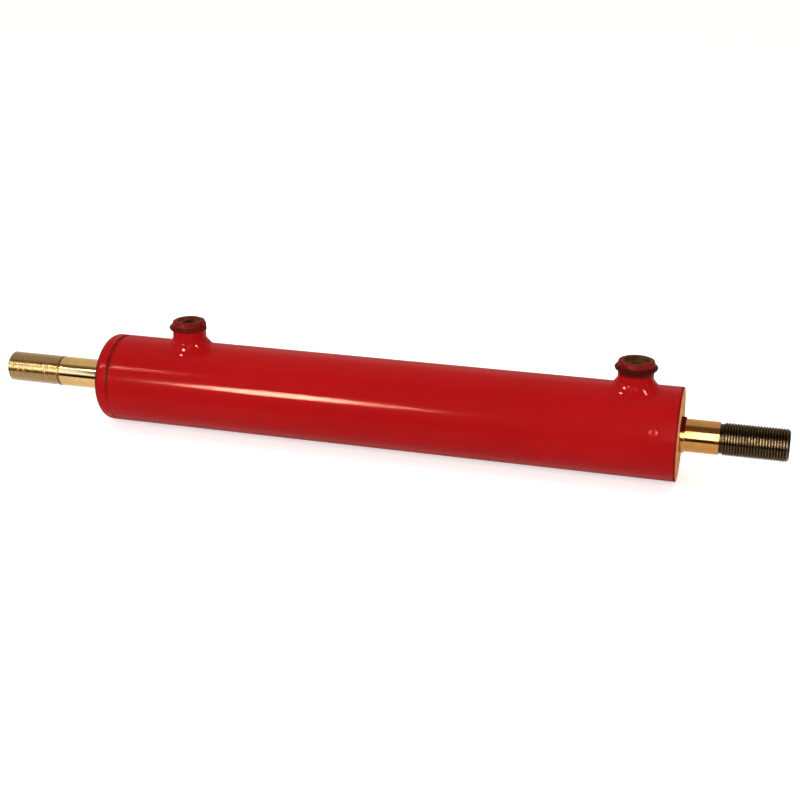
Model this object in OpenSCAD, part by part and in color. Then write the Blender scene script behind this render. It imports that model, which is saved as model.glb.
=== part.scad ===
// Double-ended hydraulic cylinder: one rod passes through both ends of a round barrel.
// Millimetres. +X runs along the rod, +Z points to the ports, and the origin is on the
// rod axis halfway along the barrel.

/* [Barrel] */
// Outside diameter of the barrel tube
tube_od = 63.5; // [60:0.1:76]
// Honed bore of the barrel tube
tube_bore = 50.8; // [46:0.1:53]
// Length of the barrel tube
tube_len = 406.4; // [340:0.1:600]
// Edge break on the outside of the tube's right end
tube_edge = 0.4; // [0.2:0.1:1]

/* [Rod] */
// Diameter of the rod and of its end threads
rod_d = 22.225; // [18:0.025:25]
// Length of the rod, tip to tip
rod_len = 571.5; // [540:0.5:640]
// Length of each end thread, from the tip to the plain shank
thread_len = 44.45; // [30:0.05:50]
// Width of the run-out groove behind each thread
relief_w = 2.5; // [1.5:0.1:4]
// Depth of the run-out groove behind each thread
relief_depth = 1.1; // [0.6:0.1:2]
// Chamfer on each rod tip
tip_chamfer = 1.6; // [0.8:0.1:2.5]
// Full travel of the rod between its stops
stroke = 50.8; // [20:0.1:56]
// Where the rod rests, measured from the middle of its travel
rest_offset = -7.25; // [-10:0.25:10]

/* [Ports] */
// Outside diameter of a port boss
boss_d = 23.8; // [20:0.1:28]
// Height of a port boss above the top of the barrel
boss_height = 11.35; // [8:0.05:20]
// Diameter of the threaded port in a boss
port_d = 14.3; // [10:0.1:16]
// Diameter of the oil hole drilled through the barrel wall
oil_hole_d = 8; // [5:0.5:9]
// Room between the left gland's inner end and the left oil hole
left_port_gap = 6.5; // [2:0.25:20]
// Room between the right gland's land and the right oil hole
right_port_gap = 0.75; // [0.5:0.25:10]
// Leg length of the fillet weld round a boss
weld_leg = 5.6; // [3:0.1:7]

/* [Port plugs] */
// Diameter of the plug's flange, which rests on the boss
plug_flange_d = 28.4; // [25:0.1:32]
// Thickness of the plug's flange
plug_flange_t = 2; // [1:0.1:3]
// Outside diameter of the plug's upper ring
plug_ring_d = 22.4; // [18:0.1:24]
// Height of the plug's upper ring above the flange
plug_ring_h = 4.1; // [2:0.1:8]
// Wall of the plug's upper ring
plug_wall = 2.2; // [1.2:0.1:3]
// Depth of the recess inside the plug's upper ring
plug_recess = 3.2; // [1.5:0.1:3.6]
// Length of the plug's stem inside the port
plug_stem_len = 9; // [5:0.5:11]

/* [Glands] */
// Length of each gland, from its outer face to its inner end
gland_len = 54; // [51:0.5:58]
// Length of the left gland's flange outside the tube
flange_len = 11; // [8:0.5:16]
// Radius on the outer edge of the left gland's flange
flange_edge = 4.6; // [1:0.1:6]
// Chamfer on each side of the seam between flange and tube
seam_chamfer = 1; // [0.4:0.1:1.6]
// Radial height of the step at the left gland's screw thread
gland_thread_h = 1.6; // [1:0.1:2.2]
// Length of the left gland's screw thread
gland_thread_len = 18; // [12:0.5:20]
// Radial gap round the right gland's nose, which lets the oil in
nose_gap = 5.4; // [4:0.1:7]
// Diameter of a spanner hole in the left gland's face
spanner_hole_d = 6.4; // [4:0.1:7]
// Depth of a spanner hole
spanner_hole_depth = 6.5; // [4:0.5:9]

/* [Lock screw] */
// Diameter of the screw that locks the right gland
lock_screw_d = 6; // [4:0.5:7]
// Screw's centre, measured from the right end of the tube
lock_from_end = 15.3; // [12:0.1:18]
// Angle of the screw, from the top towards the front
lock_angle = 70; // [30:1:150]
// How far the screw's head lies below the barrel's surface
lock_recess = 0.2; // [0.1:0.1:1]
// Width of the screw's hexagon socket
lock_socket_w = 3; // [2:0.5:3]
// Depth of the screw's hexagon socket
lock_socket_depth = 2.4; // [1:0.1:3]
// Chamfer at the mouth of the screw's hole
lock_mouth = 0.3; // [0.2:0.1:1]

/* [Seals and bushings] */
// Radial thickness of a rod wiper
wiper_t = 4.2; // [3.5:0.1:5]
// Depth of a rod wiper's seat
wiper_depth = 5.5; // [4:0.1:7]
// How far a rod wiper's lip stands out of its gland
wiper_out = 3.2; // [1:0.1:3.4]
// Radial thickness of a rod wiper's lip outside its gland
wiper_lip_t = 1; // [0.8:0.1:2]
// Radial thickness of a rod seal
rod_seal_t = 4; // [3:0.1:5]
// Width of a rod seal
rod_seal_w = 6.4; // [5:0.1:9]
// Solid land between a wiper and the rod seal behind it
seal_land = 4; // [2:0.1:6]
// Wall of a rod bushing
bushing_t = 1.6; // [1:0.1:2.5]
// Length of a rod bushing
bushing_len = 22; // [15:0.5:28]
// Height that a gland's O-ring is squeezed to
gland_oring_h = 3; // [2:0.1:3.4]
// Width of a gland's backup ring
backup_w = 1.4; // [1:0.1:2]

/* [Piston] */
// Radial gap between the piston and the bore
piston_gap = 0.2; // [0.15:0.05:0.5]
// Width of the piston seal
piston_seal_w = 6.2; // [4:0.1:8]
// Radial height of the piston seal
piston_seal_h = 2.76; // [2:0.01:3.5]
// Height that the O-ring under the piston seal is squeezed to
energizer_h = 2.6; // [1.8:0.1:3.2]
// Width of a piston wear ring
wear_w = 6.3; // [4:0.1:10]
// Radial height of a piston wear ring
wear_h = 2.4; // [1.5:0.1:3.5]
// Solid land between neighbouring piston grooves and at the piston's ends
piston_land = 2.25; // [1.5:0.05:4]
// Height that the O-ring between piston and rod is squeezed to
rod_oring_h = 1.5; // [1.2:0.1:2]
// Wall of a stop tube
stop_tube_t = 5.9; // [5.6:0.1:8]
// Axial thickness of a retaining ring
ring_t = 1.57; // [1:0.01:2]
// Radial height of a retaining ring above the rod
ring_h = 2.6; // [2:0.1:3]
// Depth of a retaining ring's groove in the rod
ring_groove_depth = 0.9; // [0.6:0.1:1.2]

/* [Clearances] */
// Radial clearance of a gland in the bore
gland_fit = 0.05; // [0.02:0.01:0.1]
// Radial running clearance of the rod in its bushings, seals and wipers
rod_run = 0.03; // [0.01:0.01:0.08]
// Radial running clearance of the piston rings in the bore
ring_run = 0.04; // [0.01:0.01:0.08]
// Clearance of a ring or seal in its groove
groove_play = 0.05; // [0.02:0.01:0.1]
// Radial gap between a gland's bare bore and the rod
gland_bore_gap = 0.4; // [0.2:0.05:0.8]
// Radial clearance of the piston and stop tubes on the rod
sleeve_fit = 0.03; // [0.01:0.01:0.08]
// Radial clearance of a plug's stem in its port
plug_fit = 0.15; // [0.05:0.01:0.3]
// Gap left at each stop at the end of the travel
stop_gap = 0.25; // [0.1:0.05:0.5]

/* [Hidden] */
$fn = 96;

paint = "firebrick";
bare_steel = "darkkhaki";
chrome = "lightgray";
urethane = "saddlebrown";
rubber = "dimgray";
bronze = "goldenrod";
slit = 0.01;

tube_r = tube_od / 2;
bore_r = tube_bore / 2;
rod_r = rod_d / 2;
boss_r = boss_d / 2;
body_len = tube_len + flange_len;
x_left = -body_len / 2;
x_right = body_len / 2;
x_seam = x_left + flange_len;
boss_top = tube_r + boss_height;

// The rod, its stack of sleeves and the room they move in
chamber_len = body_len - 2 * gland_len;
x_rod = rest_offset;
piston_w = piston_seal_w + 2 * wear_w + 6 * groove_play + 4 * piston_land;
stop_tube_len = (chamber_len - piston_w - stroke) / 2 - stop_gap;
stack_half = piston_w / 2 + stop_tube_len;
ring_seat_depth = ring_t + groove_play;
lug_room = 1.6;
ring_seat_r = rod_r + ring_h + lug_room;
stop_tube_r = rod_r + stop_tube_t;

// Grooves in the glands, measured inwards from a gland's outer face
gland_r = bore_r - gland_fit;
gland_thread_r = bore_r + gland_thread_h;
thread_relief = 2;
groove_land = 2;
relief_r = bore_r - 1;
left_thread_end = flange_len + gland_thread_len;
left_pilot_at = left_thread_end + thread_relief;
left_oring_at = left_pilot_at + 2.5 * groove_land;
lock_play = 0.6;
lock_groove_w = lock_screw_d + lock_play;
right_thread_end = lock_from_end - lock_groove_w / 2;
lock_groove_end = lock_from_end + lock_groove_w / 2;
end_land = 1.4;
right_oring_at = lock_groove_end + groove_land;
oring_spread = 0.6;
gland_oring_w = gland_oring_h + oring_spread;
gland_groove_w = gland_oring_w + backup_w;
gland_groove_r = bore_r - gland_oring_h;
right_land_len = right_oring_at + gland_groove_w + end_land;
seal_at = wiper_depth + seal_land;
bushing_at = gland_len - bushing_len;
spanner_circle_r = (rod_r + wiper_t + bore_r) / 2;
left_port_x = x_left + gland_len + left_port_gap + oil_hole_d / 2;
right_port_x = x_right - right_land_len - right_port_gap - oil_hole_d / 2;

// Shapes that repeat

// Points on a circle's arc, with the angle measured from the first axis
function arc(c, r, from, to, steps) =
    [for (i = [0 : steps]) let (a = from + (to - from) * i / steps) c + r * [cos(a), sin(a)]];

// The cross-section of a plain ring between two radii and two places along the axis
function ring_section(r_in, r_out, x0, x1) = [[r_in, x0], [r_out, x0], [r_out, x1], [r_in, x1]];

// Turns a section, given as [radius, x] points, about the rod axis
module turned(section, arc_deg = 360, start_deg = 0) {
    rotate([0, 90, 0]) rotate([0, 0, start_deg]) rotate_extrude(angle = arc_deg) polygon(section);
}

// Turns a round section about the rod axis: an O-ring
module turned_round(r, x, section_r) {
    rotate([0, 90, 0]) translate([0, 0, x]) rotate_extrude() translate([r, 0]) circle(section_r, $fn = 32);
}

// Puts a gland's own parts at an end of the barrel, with x running inwards from the face
module at_left() { translate([x_left, 0, 0]) children(); }
module at_right() { translate([x_right, 0, 0]) mirror([1, 0, 0]) children(); }

// A cylinder across the rod axis, standing up at x
module upright(x, r, z0, z1) { translate([x, 0, z0]) cylinder(r = r, h = z1 - z0); }

// Barrel

// Stands what it holds on the rod axis under the lock screw, with z running outwards
module at_lock_screw() {
    translate([x_right - lock_from_end, 0, 0]) rotate([lock_angle, 0, 0]) children();
}

module barrel_tube() {
    lead_in = 0.8;
    cone_h = lock_mouth + 1;
    left_step = x_seam + gland_thread_len + thread_relief;
    right_step = x_right - lock_groove_end;
    section = [
        [gland_thread_r, x_seam], [tube_r - seam_chamfer, x_seam], [tube_r, x_seam + seam_chamfer],
        [tube_r, x_right - tube_edge], [tube_r - tube_edge, x_right], [gland_thread_r + lead_in, x_right],
        [gland_thread_r, x_right - lead_in], [gland_thread_r, right_step + gland_thread_h],
        [bore_r, right_step], [bore_r, left_step], [gland_thread_r, left_step - gland_thread_h]
    ];
    color(paint) difference() {
        turned(section);
        for (x = [left_port_x, right_port_x]) upright(x, oil_hole_d / 2, 0, tube_od);
        at_lock_screw() {
            cylinder(d = lock_screw_d, h = tube_od);
            translate([0, 0, tube_r - lock_mouth])
                cylinder(d1 = lock_screw_d, d2 = lock_screw_d + 2 * cone_h, h = cone_h);
        }
    }
}

module right_gland_lock_screw() {
    edge = 0.5;
    r = lock_screw_d / 2;
    head = tube_r - lock_recess;
    hexagon_d = lock_socket_w / cos(30);
    section = [
        [0, relief_r], [r - 2 * edge, relief_r], [r, relief_r + 2 * edge],
        [r, head - edge], [r - edge, head], [0, head]
    ];
    color(paint) at_lock_screw() difference() {
        rotate_extrude() polygon(section);
        translate([0, 0, head - lock_socket_depth])
            cylinder(d = hexagon_d, h = lock_socket_depth + slit, $fn = 6);
    }
}

module port_boss(x) {
    edge = 0.6;
    mouth = 0.8;
    section = [
        [port_d / 2, 0], [boss_r, 0], [boss_r, boss_top - edge], [boss_r - edge, boss_top],
        [port_d / 2 + mouth, boss_top], [port_d / 2, boss_top - mouth]
    ];
    color(paint) difference() {
        translate([x, 0, 0]) rotate_extrude() polygon(section);
        rotate([0, 90, 0]) translate([0, 0, x - boss_d]) cylinder(r = tube_r, h = 2 * boss_d);
    }
}
module left_port_boss() { port_boss(left_port_x); }
module right_port_boss() { port_boss(right_port_x); }

// One ring of points round a boss: how far out, and how high over the barrel's surface
function weld_ring(out, up, steps) = [
    for (i = [0 : steps - 1])
        let (a = 360 * i / steps, r = boss_r + out, y = r * sin(a))
        [r * cos(a), y, sqrt(pow(tube_r + up, 2) - y * y)]
];

// The fillet weld follows the saddle where a boss meets the barrel, with a slightly hollow face
module port_weld(x) {
    steps = 72;
    root = 1.5;
    toe = 0.5;
    waist = 0.43 * weld_leg;
    rings = [[weld_leg, -2 * root], [weld_leg, toe], [waist, waist], [toe, weld_leg],
             [-root, weld_leg], [-root, -2 * root]];
    n = len(rings);
    points = [for (ring = rings) each weld_ring(ring[0], ring[1], steps)];
    faces = [
        for (k = [0 : n - 1], i = [0 : steps - 1])
            let (j = (i + 1) % steps, low = k * steps, high = ((k + 1) % n) * steps)
            each [[low + i, high + j, low + j], [low + i, high + i, high + j]]
    ];
    color(paint) translate([x, 0, 0]) difference() {
        polyhedron(points, faces);
        upright(0, boss_r, 0, boss_top);
        rotate([0, 90, 0]) translate([0, 0, -boss_d]) cylinder(r = tube_r, h = 2 * boss_d);
    }
}
module left_port_weld() { port_weld(left_port_x); }
module right_port_weld() { port_weld(right_port_x); }

// Glands

// What is cut out of a gland for the rod: wiper seat, seal groove, bushing seat and bare bore
module rod_passage() {
    turned(ring_section(0, rod_r + gland_bore_gap, -slit, gland_len + slit));
    turned(ring_section(0, rod_r + wiper_t, -slit, wiper_depth));
    turned(ring_section(0, rod_r + rod_seal_t, seal_at, seal_at + rod_seal_w + 2 * groove_play));
    turned(ring_section(0, rod_r + bushing_t, bushing_at, gland_len + slit));
}

module gland_ring_groove(at) {
    turned(ring_section(gland_groove_r, tube_r, at, at + gland_groove_w));
}

// Blind holes in a gland's face that a pin spanner turns it by
module spanner_holes() {
    count = 4;
    for (i = [0 : count - 1]) rotate([360 * (i + 0.5) / count, 0, 0])
        translate([-slit, 0, spanner_circle_r]) rotate([0, 90, 0])
            cylinder(d = spanner_hole_d, h = spanner_hole_depth + slit);
}

module left_gland() {
    end_chamfer = 1;
    section = concat(
        [[0, 0]],
        arc([tube_r - flange_edge, flange_edge], flange_edge, -90, 0, 6),
        [[tube_r, flange_len - seam_chamfer], [tube_r - seam_chamfer, flange_len],
         [gland_thread_r, flange_len], [gland_thread_r, left_thread_end], [relief_r, left_thread_end],
         [relief_r, left_pilot_at], [gland_r, left_pilot_at], [gland_r, gland_len - end_chamfer],
         [gland_r - end_chamfer, gland_len], [0, gland_len]]
    );
    color(paint) at_left() difference() {
        turned(section);
        rod_passage();
        gland_ring_groove(left_oring_at);
        spanner_holes();
    }
}

module right_gland() {
    edge = 0.8;
    nose_r = bore_r - nose_gap;
    section = [
        [0, 0], [gland_thread_r - edge, 0], [gland_thread_r, edge], [gland_thread_r, right_thread_end],
        [relief_r, right_thread_end], [relief_r, lock_groove_end], [gland_r, lock_groove_end],
        [gland_r, right_land_len], [nose_r, right_land_len], [nose_r, gland_len - edge],
        [nose_r - edge, gland_len], [0, gland_len]
    ];
    color(bare_steel) at_right() difference() {
        turned(section);
        rod_passage();
        gland_ring_groove(right_oring_at);
        spanner_holes();
    }
}

module gland_oring(at) {
    squeeze_gap = 0.02;
    color(rubber) turned_round(bore_r - gland_oring_h / 2, at + gland_oring_w / 2,
                               gland_oring_h / 2 - squeeze_gap);
}
module left_gland_oring() { at_left() gland_oring(left_oring_at + backup_w); }
module right_gland_oring() { at_right() gland_oring(right_oring_at + backup_w); }

module backup_ring(at) {
    color("ivory") turned(ring_section(gland_groove_r + groove_play, gland_r, at + groove_play, at + backup_w));
}
module left_gland_backup_ring() { at_left() backup_ring(left_oring_at); }
module right_gland_backup_ring() { at_right() backup_ring(right_oring_at); }

module rod_wiper() {
    r_in = rod_r + rod_run;
    r_seat = rod_r + wiper_t;
    r_lip = rod_r + wiper_lip_t;
    nose = 0.4;
    heel = 0.9;
    section = [
        [r_in, -wiper_out], [r_lip - nose, -wiper_out], [r_lip, nose - wiper_out], [r_lip, 0], [r_seat, 0],
        [r_seat, wiper_depth], [r_in + heel, wiper_depth], [r_in + heel, heel], [r_in, heel / 2]
    ];
    color(urethane) turned(section);
}
module left_rod_wiper() { at_left() rod_wiper(); }
module right_rod_wiper() { at_right() rod_wiper(); }

// A U-cup, with its mouth towards the oil
module rod_seal() {
    r_in = rod_r + rod_run;
    r_out = rod_r + rod_seal_t;
    r_mid = (r_in + r_out) / 2;
    back = seal_at + groove_play;
    front = back + rod_seal_w;
    lip = 0.9;
    heel = 3;
    section = [
        [r_in, back], [r_out, back], [r_out, front], [r_out - lip, front], [r_mid + lip / 3, back + heel],
        [r_mid - lip / 3, back + heel], [r_in + lip, front], [r_in, front]
    ];
    color(urethane) turned(section);
}
module left_rod_seal() { at_left() rod_seal(); }
module right_rod_seal() { at_right() rod_seal(); }

module rod_bushing() {
    color(bronze) turned(ring_section(rod_r + rod_run, rod_r + bushing_t, bushing_at, gland_len));
}
module left_rod_bushing() { at_left() rod_bushing(); }
module right_rod_bushing() { at_right() rod_bushing(); }

// Rod and piston

// One half of the rod's outline, from the middle out to a tip
function rod_half() = let (
        tip = rod_len / 2, thread_end = tip - thread_len, ring_in = stack_half - ring_seat_depth,
        ring_r = rod_r - ring_groove_depth, relief_r = rod_r - relief_depth
    ) [
        [rod_r, ring_in], [ring_r, ring_in], [ring_r, stack_half], [rod_r, stack_half],
        [rod_r, thread_end], [relief_r, thread_end + relief_depth / 2],
        [relief_r, thread_end + relief_w - relief_depth / 2], [rod_r, thread_end + relief_w],
        [rod_r, tip - tip_chamfer], [rod_r - tip_chamfer, tip], [0, tip]
    ];

module rod() {
    half = rod_half();
    last = len(half) - 1;
    section = concat(half, [for (i = [last : -1 : 0]) [half[i][0], -half[i][1]]]);
    color(chrome) translate([x_rod, 0, 0]) turned(section);
}

// Grooves round the piston, given by their middles and widths, measured from its centre
seal_groove_w = piston_seal_w + 2 * groove_play;
wear_groove_w = wear_w + 2 * groove_play;
wear_at = seal_groove_w / 2 + piston_land + wear_groove_w / 2;
seal_r = bore_r - ring_run;
seal_groove_r = seal_r - piston_seal_h - energizer_h;
wear_groove_r = seal_r - wear_h - groove_play;

module piston() {
    edge = 0.6;
    half = piston_w / 2;
    r = bore_r - piston_gap;
    r_in = rod_r + sleeve_fit;
    oring_groove_half = 1.2;
    section = [
        [r_in, -half], [r - edge, -half], [r, edge - half], [r, half - edge], [r - edge, half], [r_in, half]
    ];
    color("slategray") translate([x_rod, 0, 0]) difference() {
        turned(section);
        turned(ring_section(seal_groove_r, tube_r, -seal_groove_w / 2, seal_groove_w / 2));
        for (s = [-1, 1]) turned(ring_section(wear_groove_r, tube_r, s * wear_at - wear_groove_w / 2,
                                              s * wear_at + wear_groove_w / 2));
        turned(ring_section(0, rod_r + rod_oring_h, -oring_groove_half, oring_groove_half));
    }
}

module piston_seal() {
    color("ivory") translate([x_rod, 0, 0])
        turned(ring_section(seal_r - piston_seal_h, seal_r, -piston_seal_w / 2, piston_seal_w / 2));
}

module piston_seal_energizer() {
    color(rubber) translate([x_rod, 0, 0])
        turned_round(seal_groove_r + energizer_h / 2, 0, energizer_h / 2 - groove_play / 2);
}

module wear_ring(side) {
    color(urethane) translate([x_rod + side * wear_at, 0, 0])
        turned(ring_section(seal_r - wear_h, seal_r, -wear_w / 2, wear_w / 2));
}
module left_piston_wear_ring() { wear_ring(-1); }
module right_piston_wear_ring() { wear_ring(1); }

module piston_rod_oring() {
    color(rubber) translate([x_rod, 0, 0]) turned_round(rod_r + rod_oring_h / 2, 0, rod_oring_h / 2 - slit);
}

// A stop tube spaces the piston from a retaining ring and meets the gland at the end of travel
module stop_tube() {
    edge = 0.5;
    inner = piston_w / 2;
    r_in = rod_r + sleeve_fit;
    section = [
        [r_in, inner], [stop_tube_r - edge, inner], [stop_tube_r, inner + edge],
        [stop_tube_r, stack_half - edge], [stop_tube_r - edge, stack_half], [ring_seat_r, stack_half],
        [ring_seat_r, stack_half - ring_seat_depth], [r_in, stack_half - ring_seat_depth]
    ];
    color(bare_steel) turned(section);
}
module left_stop_tube() { translate([x_rod, 0, 0]) mirror([1, 0, 0]) stop_tube(); }
module right_stop_tube() { translate([x_rod, 0, 0]) stop_tube(); }

// An open ring with two lugs, each with a hole for the pliers
module retaining_ring() {
    opening = 46;
    lug_r = 1.8;
    lug_hole_r = 0.9;
    x0 = stack_half - ring_seat_depth;
    r_in = rod_r - ring_groove_depth + groove_play;
    lug_at = rod_r + ring_h - lug_r + 1;
    color(rubber) difference() {
        union() {
            turned(ring_section(r_in, rod_r + ring_h, x0, x0 + ring_t), 360 - opening, opening / 2);
            lugs(x0, lug_at, lug_r, opening, 0);
        }
        lugs(x0, lug_at, lug_hole_r, opening, slit);
    }
}
module lugs(x0, at, r, opening, extra) {
    for (s = [-1, 1]) rotate([0, 90, 0]) rotate([0, 0, s * (opening / 2 + 7)])
        translate([at, 0, x0 - extra]) cylinder(r = r, h = ring_t + 2 * extra);
}
module left_retaining_ring() { translate([x_rod, 0, 0]) mirror([1, 0, 0]) retaining_ring(); }
module right_retaining_ring() { translate([x_rod, 0, 0]) retaining_ring(); }

// Port plugs: a hollow stem in the port, a flange on the boss and an open ring above it
module port_plug(x) {
    edge = 0.4;
    stem_r = port_d / 2 - plug_fit;
    stem_wall = 1.6;
    ring_r = plug_ring_d / 2;
    flange_r = plug_flange_d / 2;
    top = boss_top + plug_flange_t + plug_ring_h;
    floor_z = top - plug_recess;
    section = [
        [0, boss_top - plug_stem_len + stem_wall], [0, boss_top - plug_stem_len],
        [stem_r - 2 * edge, boss_top - plug_stem_len], [stem_r, boss_top - plug_stem_len + 2 * edge],
        [stem_r, boss_top], [flange_r - edge, boss_top], [flange_r, boss_top + edge],
        [flange_r, boss_top + plug_flange_t - edge], [flange_r - edge, boss_top + plug_flange_t],
        [ring_r, boss_top + plug_flange_t], [ring_r, top - 2 * edge], [ring_r - 2 * edge, top],
        [ring_r - plug_wall + edge, top], [ring_r - plug_wall, top - edge], [ring_r - plug_wall, floor_z],
        [stem_r - stem_wall, floor_z], [stem_r - stem_wall, boss_top - plug_stem_len + stem_wall]
    ];
    color("maroon") translate([x, 0, 0]) rotate_extrude() polygon(section);
}
module left_port_plug() { port_plug(left_port_x); }
module right_port_plug() { port_plug(right_port_x); }

barrel_tube();
left_port_boss();
right_port_boss();
left_port_weld();
right_port_weld();
left_gland();
right_gland();
left_gland_oring();
left_gland_backup_ring();
right_gland_oring();
right_gland_backup_ring();
right_gland_lock_screw();
left_rod_wiper();
right_rod_wiper();
left_rod_seal();
right_rod_seal();
left_rod_bushing();
right_rod_bushing();
rod();
piston();
piston_seal();
piston_seal_energizer();
left_piston_wear_ring();
right_piston_wear_ring();
piston_rod_oring();
left_stop_tube();
right_stop_tube();
left_retaining_ring();
right_retaining_ring();
left_port_plug();
right_port_plug();
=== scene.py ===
"""Dresses the double-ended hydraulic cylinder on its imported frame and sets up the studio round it."""

import logging
import math
from abc import ABC, abstractmethod
from collections.abc import Callable, Iterator
from contextlib import contextmanager
from dataclasses import dataclass
from enum import Enum
from functools import cache, cached_property

import bmesh
import bpy
from mathutils import Matrix, Vector, noise


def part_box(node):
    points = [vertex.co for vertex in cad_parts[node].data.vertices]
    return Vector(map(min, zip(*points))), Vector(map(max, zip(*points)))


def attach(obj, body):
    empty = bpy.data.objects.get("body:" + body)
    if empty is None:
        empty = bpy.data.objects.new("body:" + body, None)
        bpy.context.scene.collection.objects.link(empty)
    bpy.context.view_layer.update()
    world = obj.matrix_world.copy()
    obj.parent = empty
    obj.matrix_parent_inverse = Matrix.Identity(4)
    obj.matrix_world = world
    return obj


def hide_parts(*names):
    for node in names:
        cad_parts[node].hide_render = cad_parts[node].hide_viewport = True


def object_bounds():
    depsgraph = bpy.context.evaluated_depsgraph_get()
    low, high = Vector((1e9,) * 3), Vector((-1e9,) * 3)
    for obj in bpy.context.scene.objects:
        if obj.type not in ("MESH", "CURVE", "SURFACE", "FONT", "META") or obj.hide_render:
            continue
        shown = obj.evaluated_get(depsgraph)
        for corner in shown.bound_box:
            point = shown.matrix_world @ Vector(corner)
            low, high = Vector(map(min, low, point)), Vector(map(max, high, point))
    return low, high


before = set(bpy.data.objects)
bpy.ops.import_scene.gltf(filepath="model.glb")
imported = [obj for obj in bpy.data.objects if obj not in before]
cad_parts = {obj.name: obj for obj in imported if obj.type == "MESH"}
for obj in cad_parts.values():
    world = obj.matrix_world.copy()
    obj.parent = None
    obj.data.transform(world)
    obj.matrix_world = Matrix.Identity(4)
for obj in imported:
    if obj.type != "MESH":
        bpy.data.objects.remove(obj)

Colour = tuple[float, float, float]
Point = tuple[float, float, float]
Piece = bpy.types.Object
Tree = bpy.types.NodeTree
Socket = bpy.types.NodeSocket
Feed = float | Colour | Socket
FaceTest = Callable[[Vector, Vector], bool]

log = logging.getLogger("cylinder")
CAD_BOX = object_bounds()
MM = 0.001
DOUBLES = 0.001 * MM
FULL_TURN = 2 * math.pi
WHITE = (1.0, 1.0, 1.0)
RED = (0.44, 0.0075, 0.009)
DEEP_RED = (0.4, 0.0065, 0.008)
RED_GLINT = (1.0, 0.42, 0.29)
OIL_FILM = (0.85, 0.43, 0.19)
DARK_FILM = (0.72, 0.35, 0.14)


class End(Enum):
    """The cylinder's two ends, and the way along X that each one faces."""

    LEFT = -1
    RIGHT = 1

    def own(self, piece: str) -> str:
        """The name of this end's copy of a piece."""
        return f"{self.name.lower()}_{piece}"


class Body(Enum):
    """The bodies that pieces ride on."""

    BARREL = "barrel"
    ROD = "rod"
    LEFT_PLUG = "left_plug"
    RIGHT_PLUG = "right_plug"


class Slot(Enum):
    """Names of material slots, passed along with new pieces."""

    PAINT = "paint"
    CHROME = "chrome"
    PLUG = "plug_plastic"


class LampShape(Enum):
    """The outlines that a lamp can have, and the share of its box that each one fills."""

    RECTANGLE = 1.0
    ELLIPSE = math.pi / 4


class Reach(Enum):
    """What a lamp is there for: to light surfaces, to be mirrored in them, or both."""

    LIGHT = "light"
    MIRRORED = "mirrored"
    BOTH = "both"


# Modelling steps


def make_active(piece: Piece) -> None:
    """Selects a piece and nothing else.

    Args:
        piece: The object to work on.
    """
    bpy.ops.object.select_all(action="DESELECT")
    piece.select_set(True)
    bpy.context.view_layer.objects.active = piece


@contextmanager
def editing(piece: Piece) -> Iterator[None]:
    """Opens a piece in edit mode and closes it again.

    Args:
        piece: The mesh object to work on.
    """
    make_active(piece)
    bpy.ops.object.mode_set(mode="EDIT")
    try:
        yield
    finally:
        bpy.ops.object.mode_set(mode="OBJECT")


def settle(name: str) -> Piece:
    """Names the primitive just added and moves its place into its mesh.

    Args:
        name: The piece's name.

    Returns:
        The object, at the origin, unturned and unscaled.
    """
    piece = bpy.context.active_object
    piece.name = name
    piece.data.name = name
    bpy.ops.object.transform_apply(location=True, rotation=True, scale=True)
    return piece


def pick_faces(piece: Piece, test: FaceTest) -> None:
    """Selects, in edit mode, the faces that pass a test and no others.

    Args:
        piece: The mesh object in edit mode.
        test: Takes a face's centre and normal.
    """
    bpy.ops.mesh.select_mode(type="FACE")
    bpy.ops.mesh.select_all(action="DESELECT")
    mesh = bmesh.from_edit_mesh(piece.data)
    for face in mesh.faces:
        face.select_set(test(face.calc_center_median(), face.normal))
    bmesh.update_edit_mesh(piece.data)


def finish_with(piece: Piece, kind: str, **settings: object) -> None:
    """Adds a modifier to a piece and applies it.

    Args:
        piece: The mesh object.
        kind: The modifier's type.
        settings: The modifier's own settings.
    """
    make_active(piece)
    modifier = piece.modifiers.new(kind.lower(), kind)
    for name, value in settings.items():
        setattr(modifier, name, value)
    bpy.ops.object.modifier_apply(modifier=modifier.name)


def cut(piece: Piece, tool: Piece) -> None:
    """Takes a tool's shape away from a piece and removes the tool."""
    finish_with(piece, "BOOLEAN", operation="DIFFERENCE", object=tool, solver="MANIFOLD")
    bpy.data.objects.remove(tool)


def middle_x(node: str) -> float:
    """Where the middle of a CAD node lies along X."""
    low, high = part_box(node)
    return (low.x + high.x) / 2


def clean(piece: Piece, smooth_deg: float = 30.0) -> None:
    """Merges doubles, turns the faces outwards and smooths all but the hard edges.

    Args:
        piece: The mesh object.
        smooth_deg: Edges that bend less than this are shaded smooth.
    """
    with editing(piece):
        bpy.ops.mesh.select_all(action="SELECT")
        bpy.ops.mesh.remove_doubles(threshold=DOUBLES)
        bpy.ops.mesh.normals_make_consistent(inside=False)
    bpy.ops.object.shade_smooth_by_angle(angle=math.radians(smooth_deg))


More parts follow.
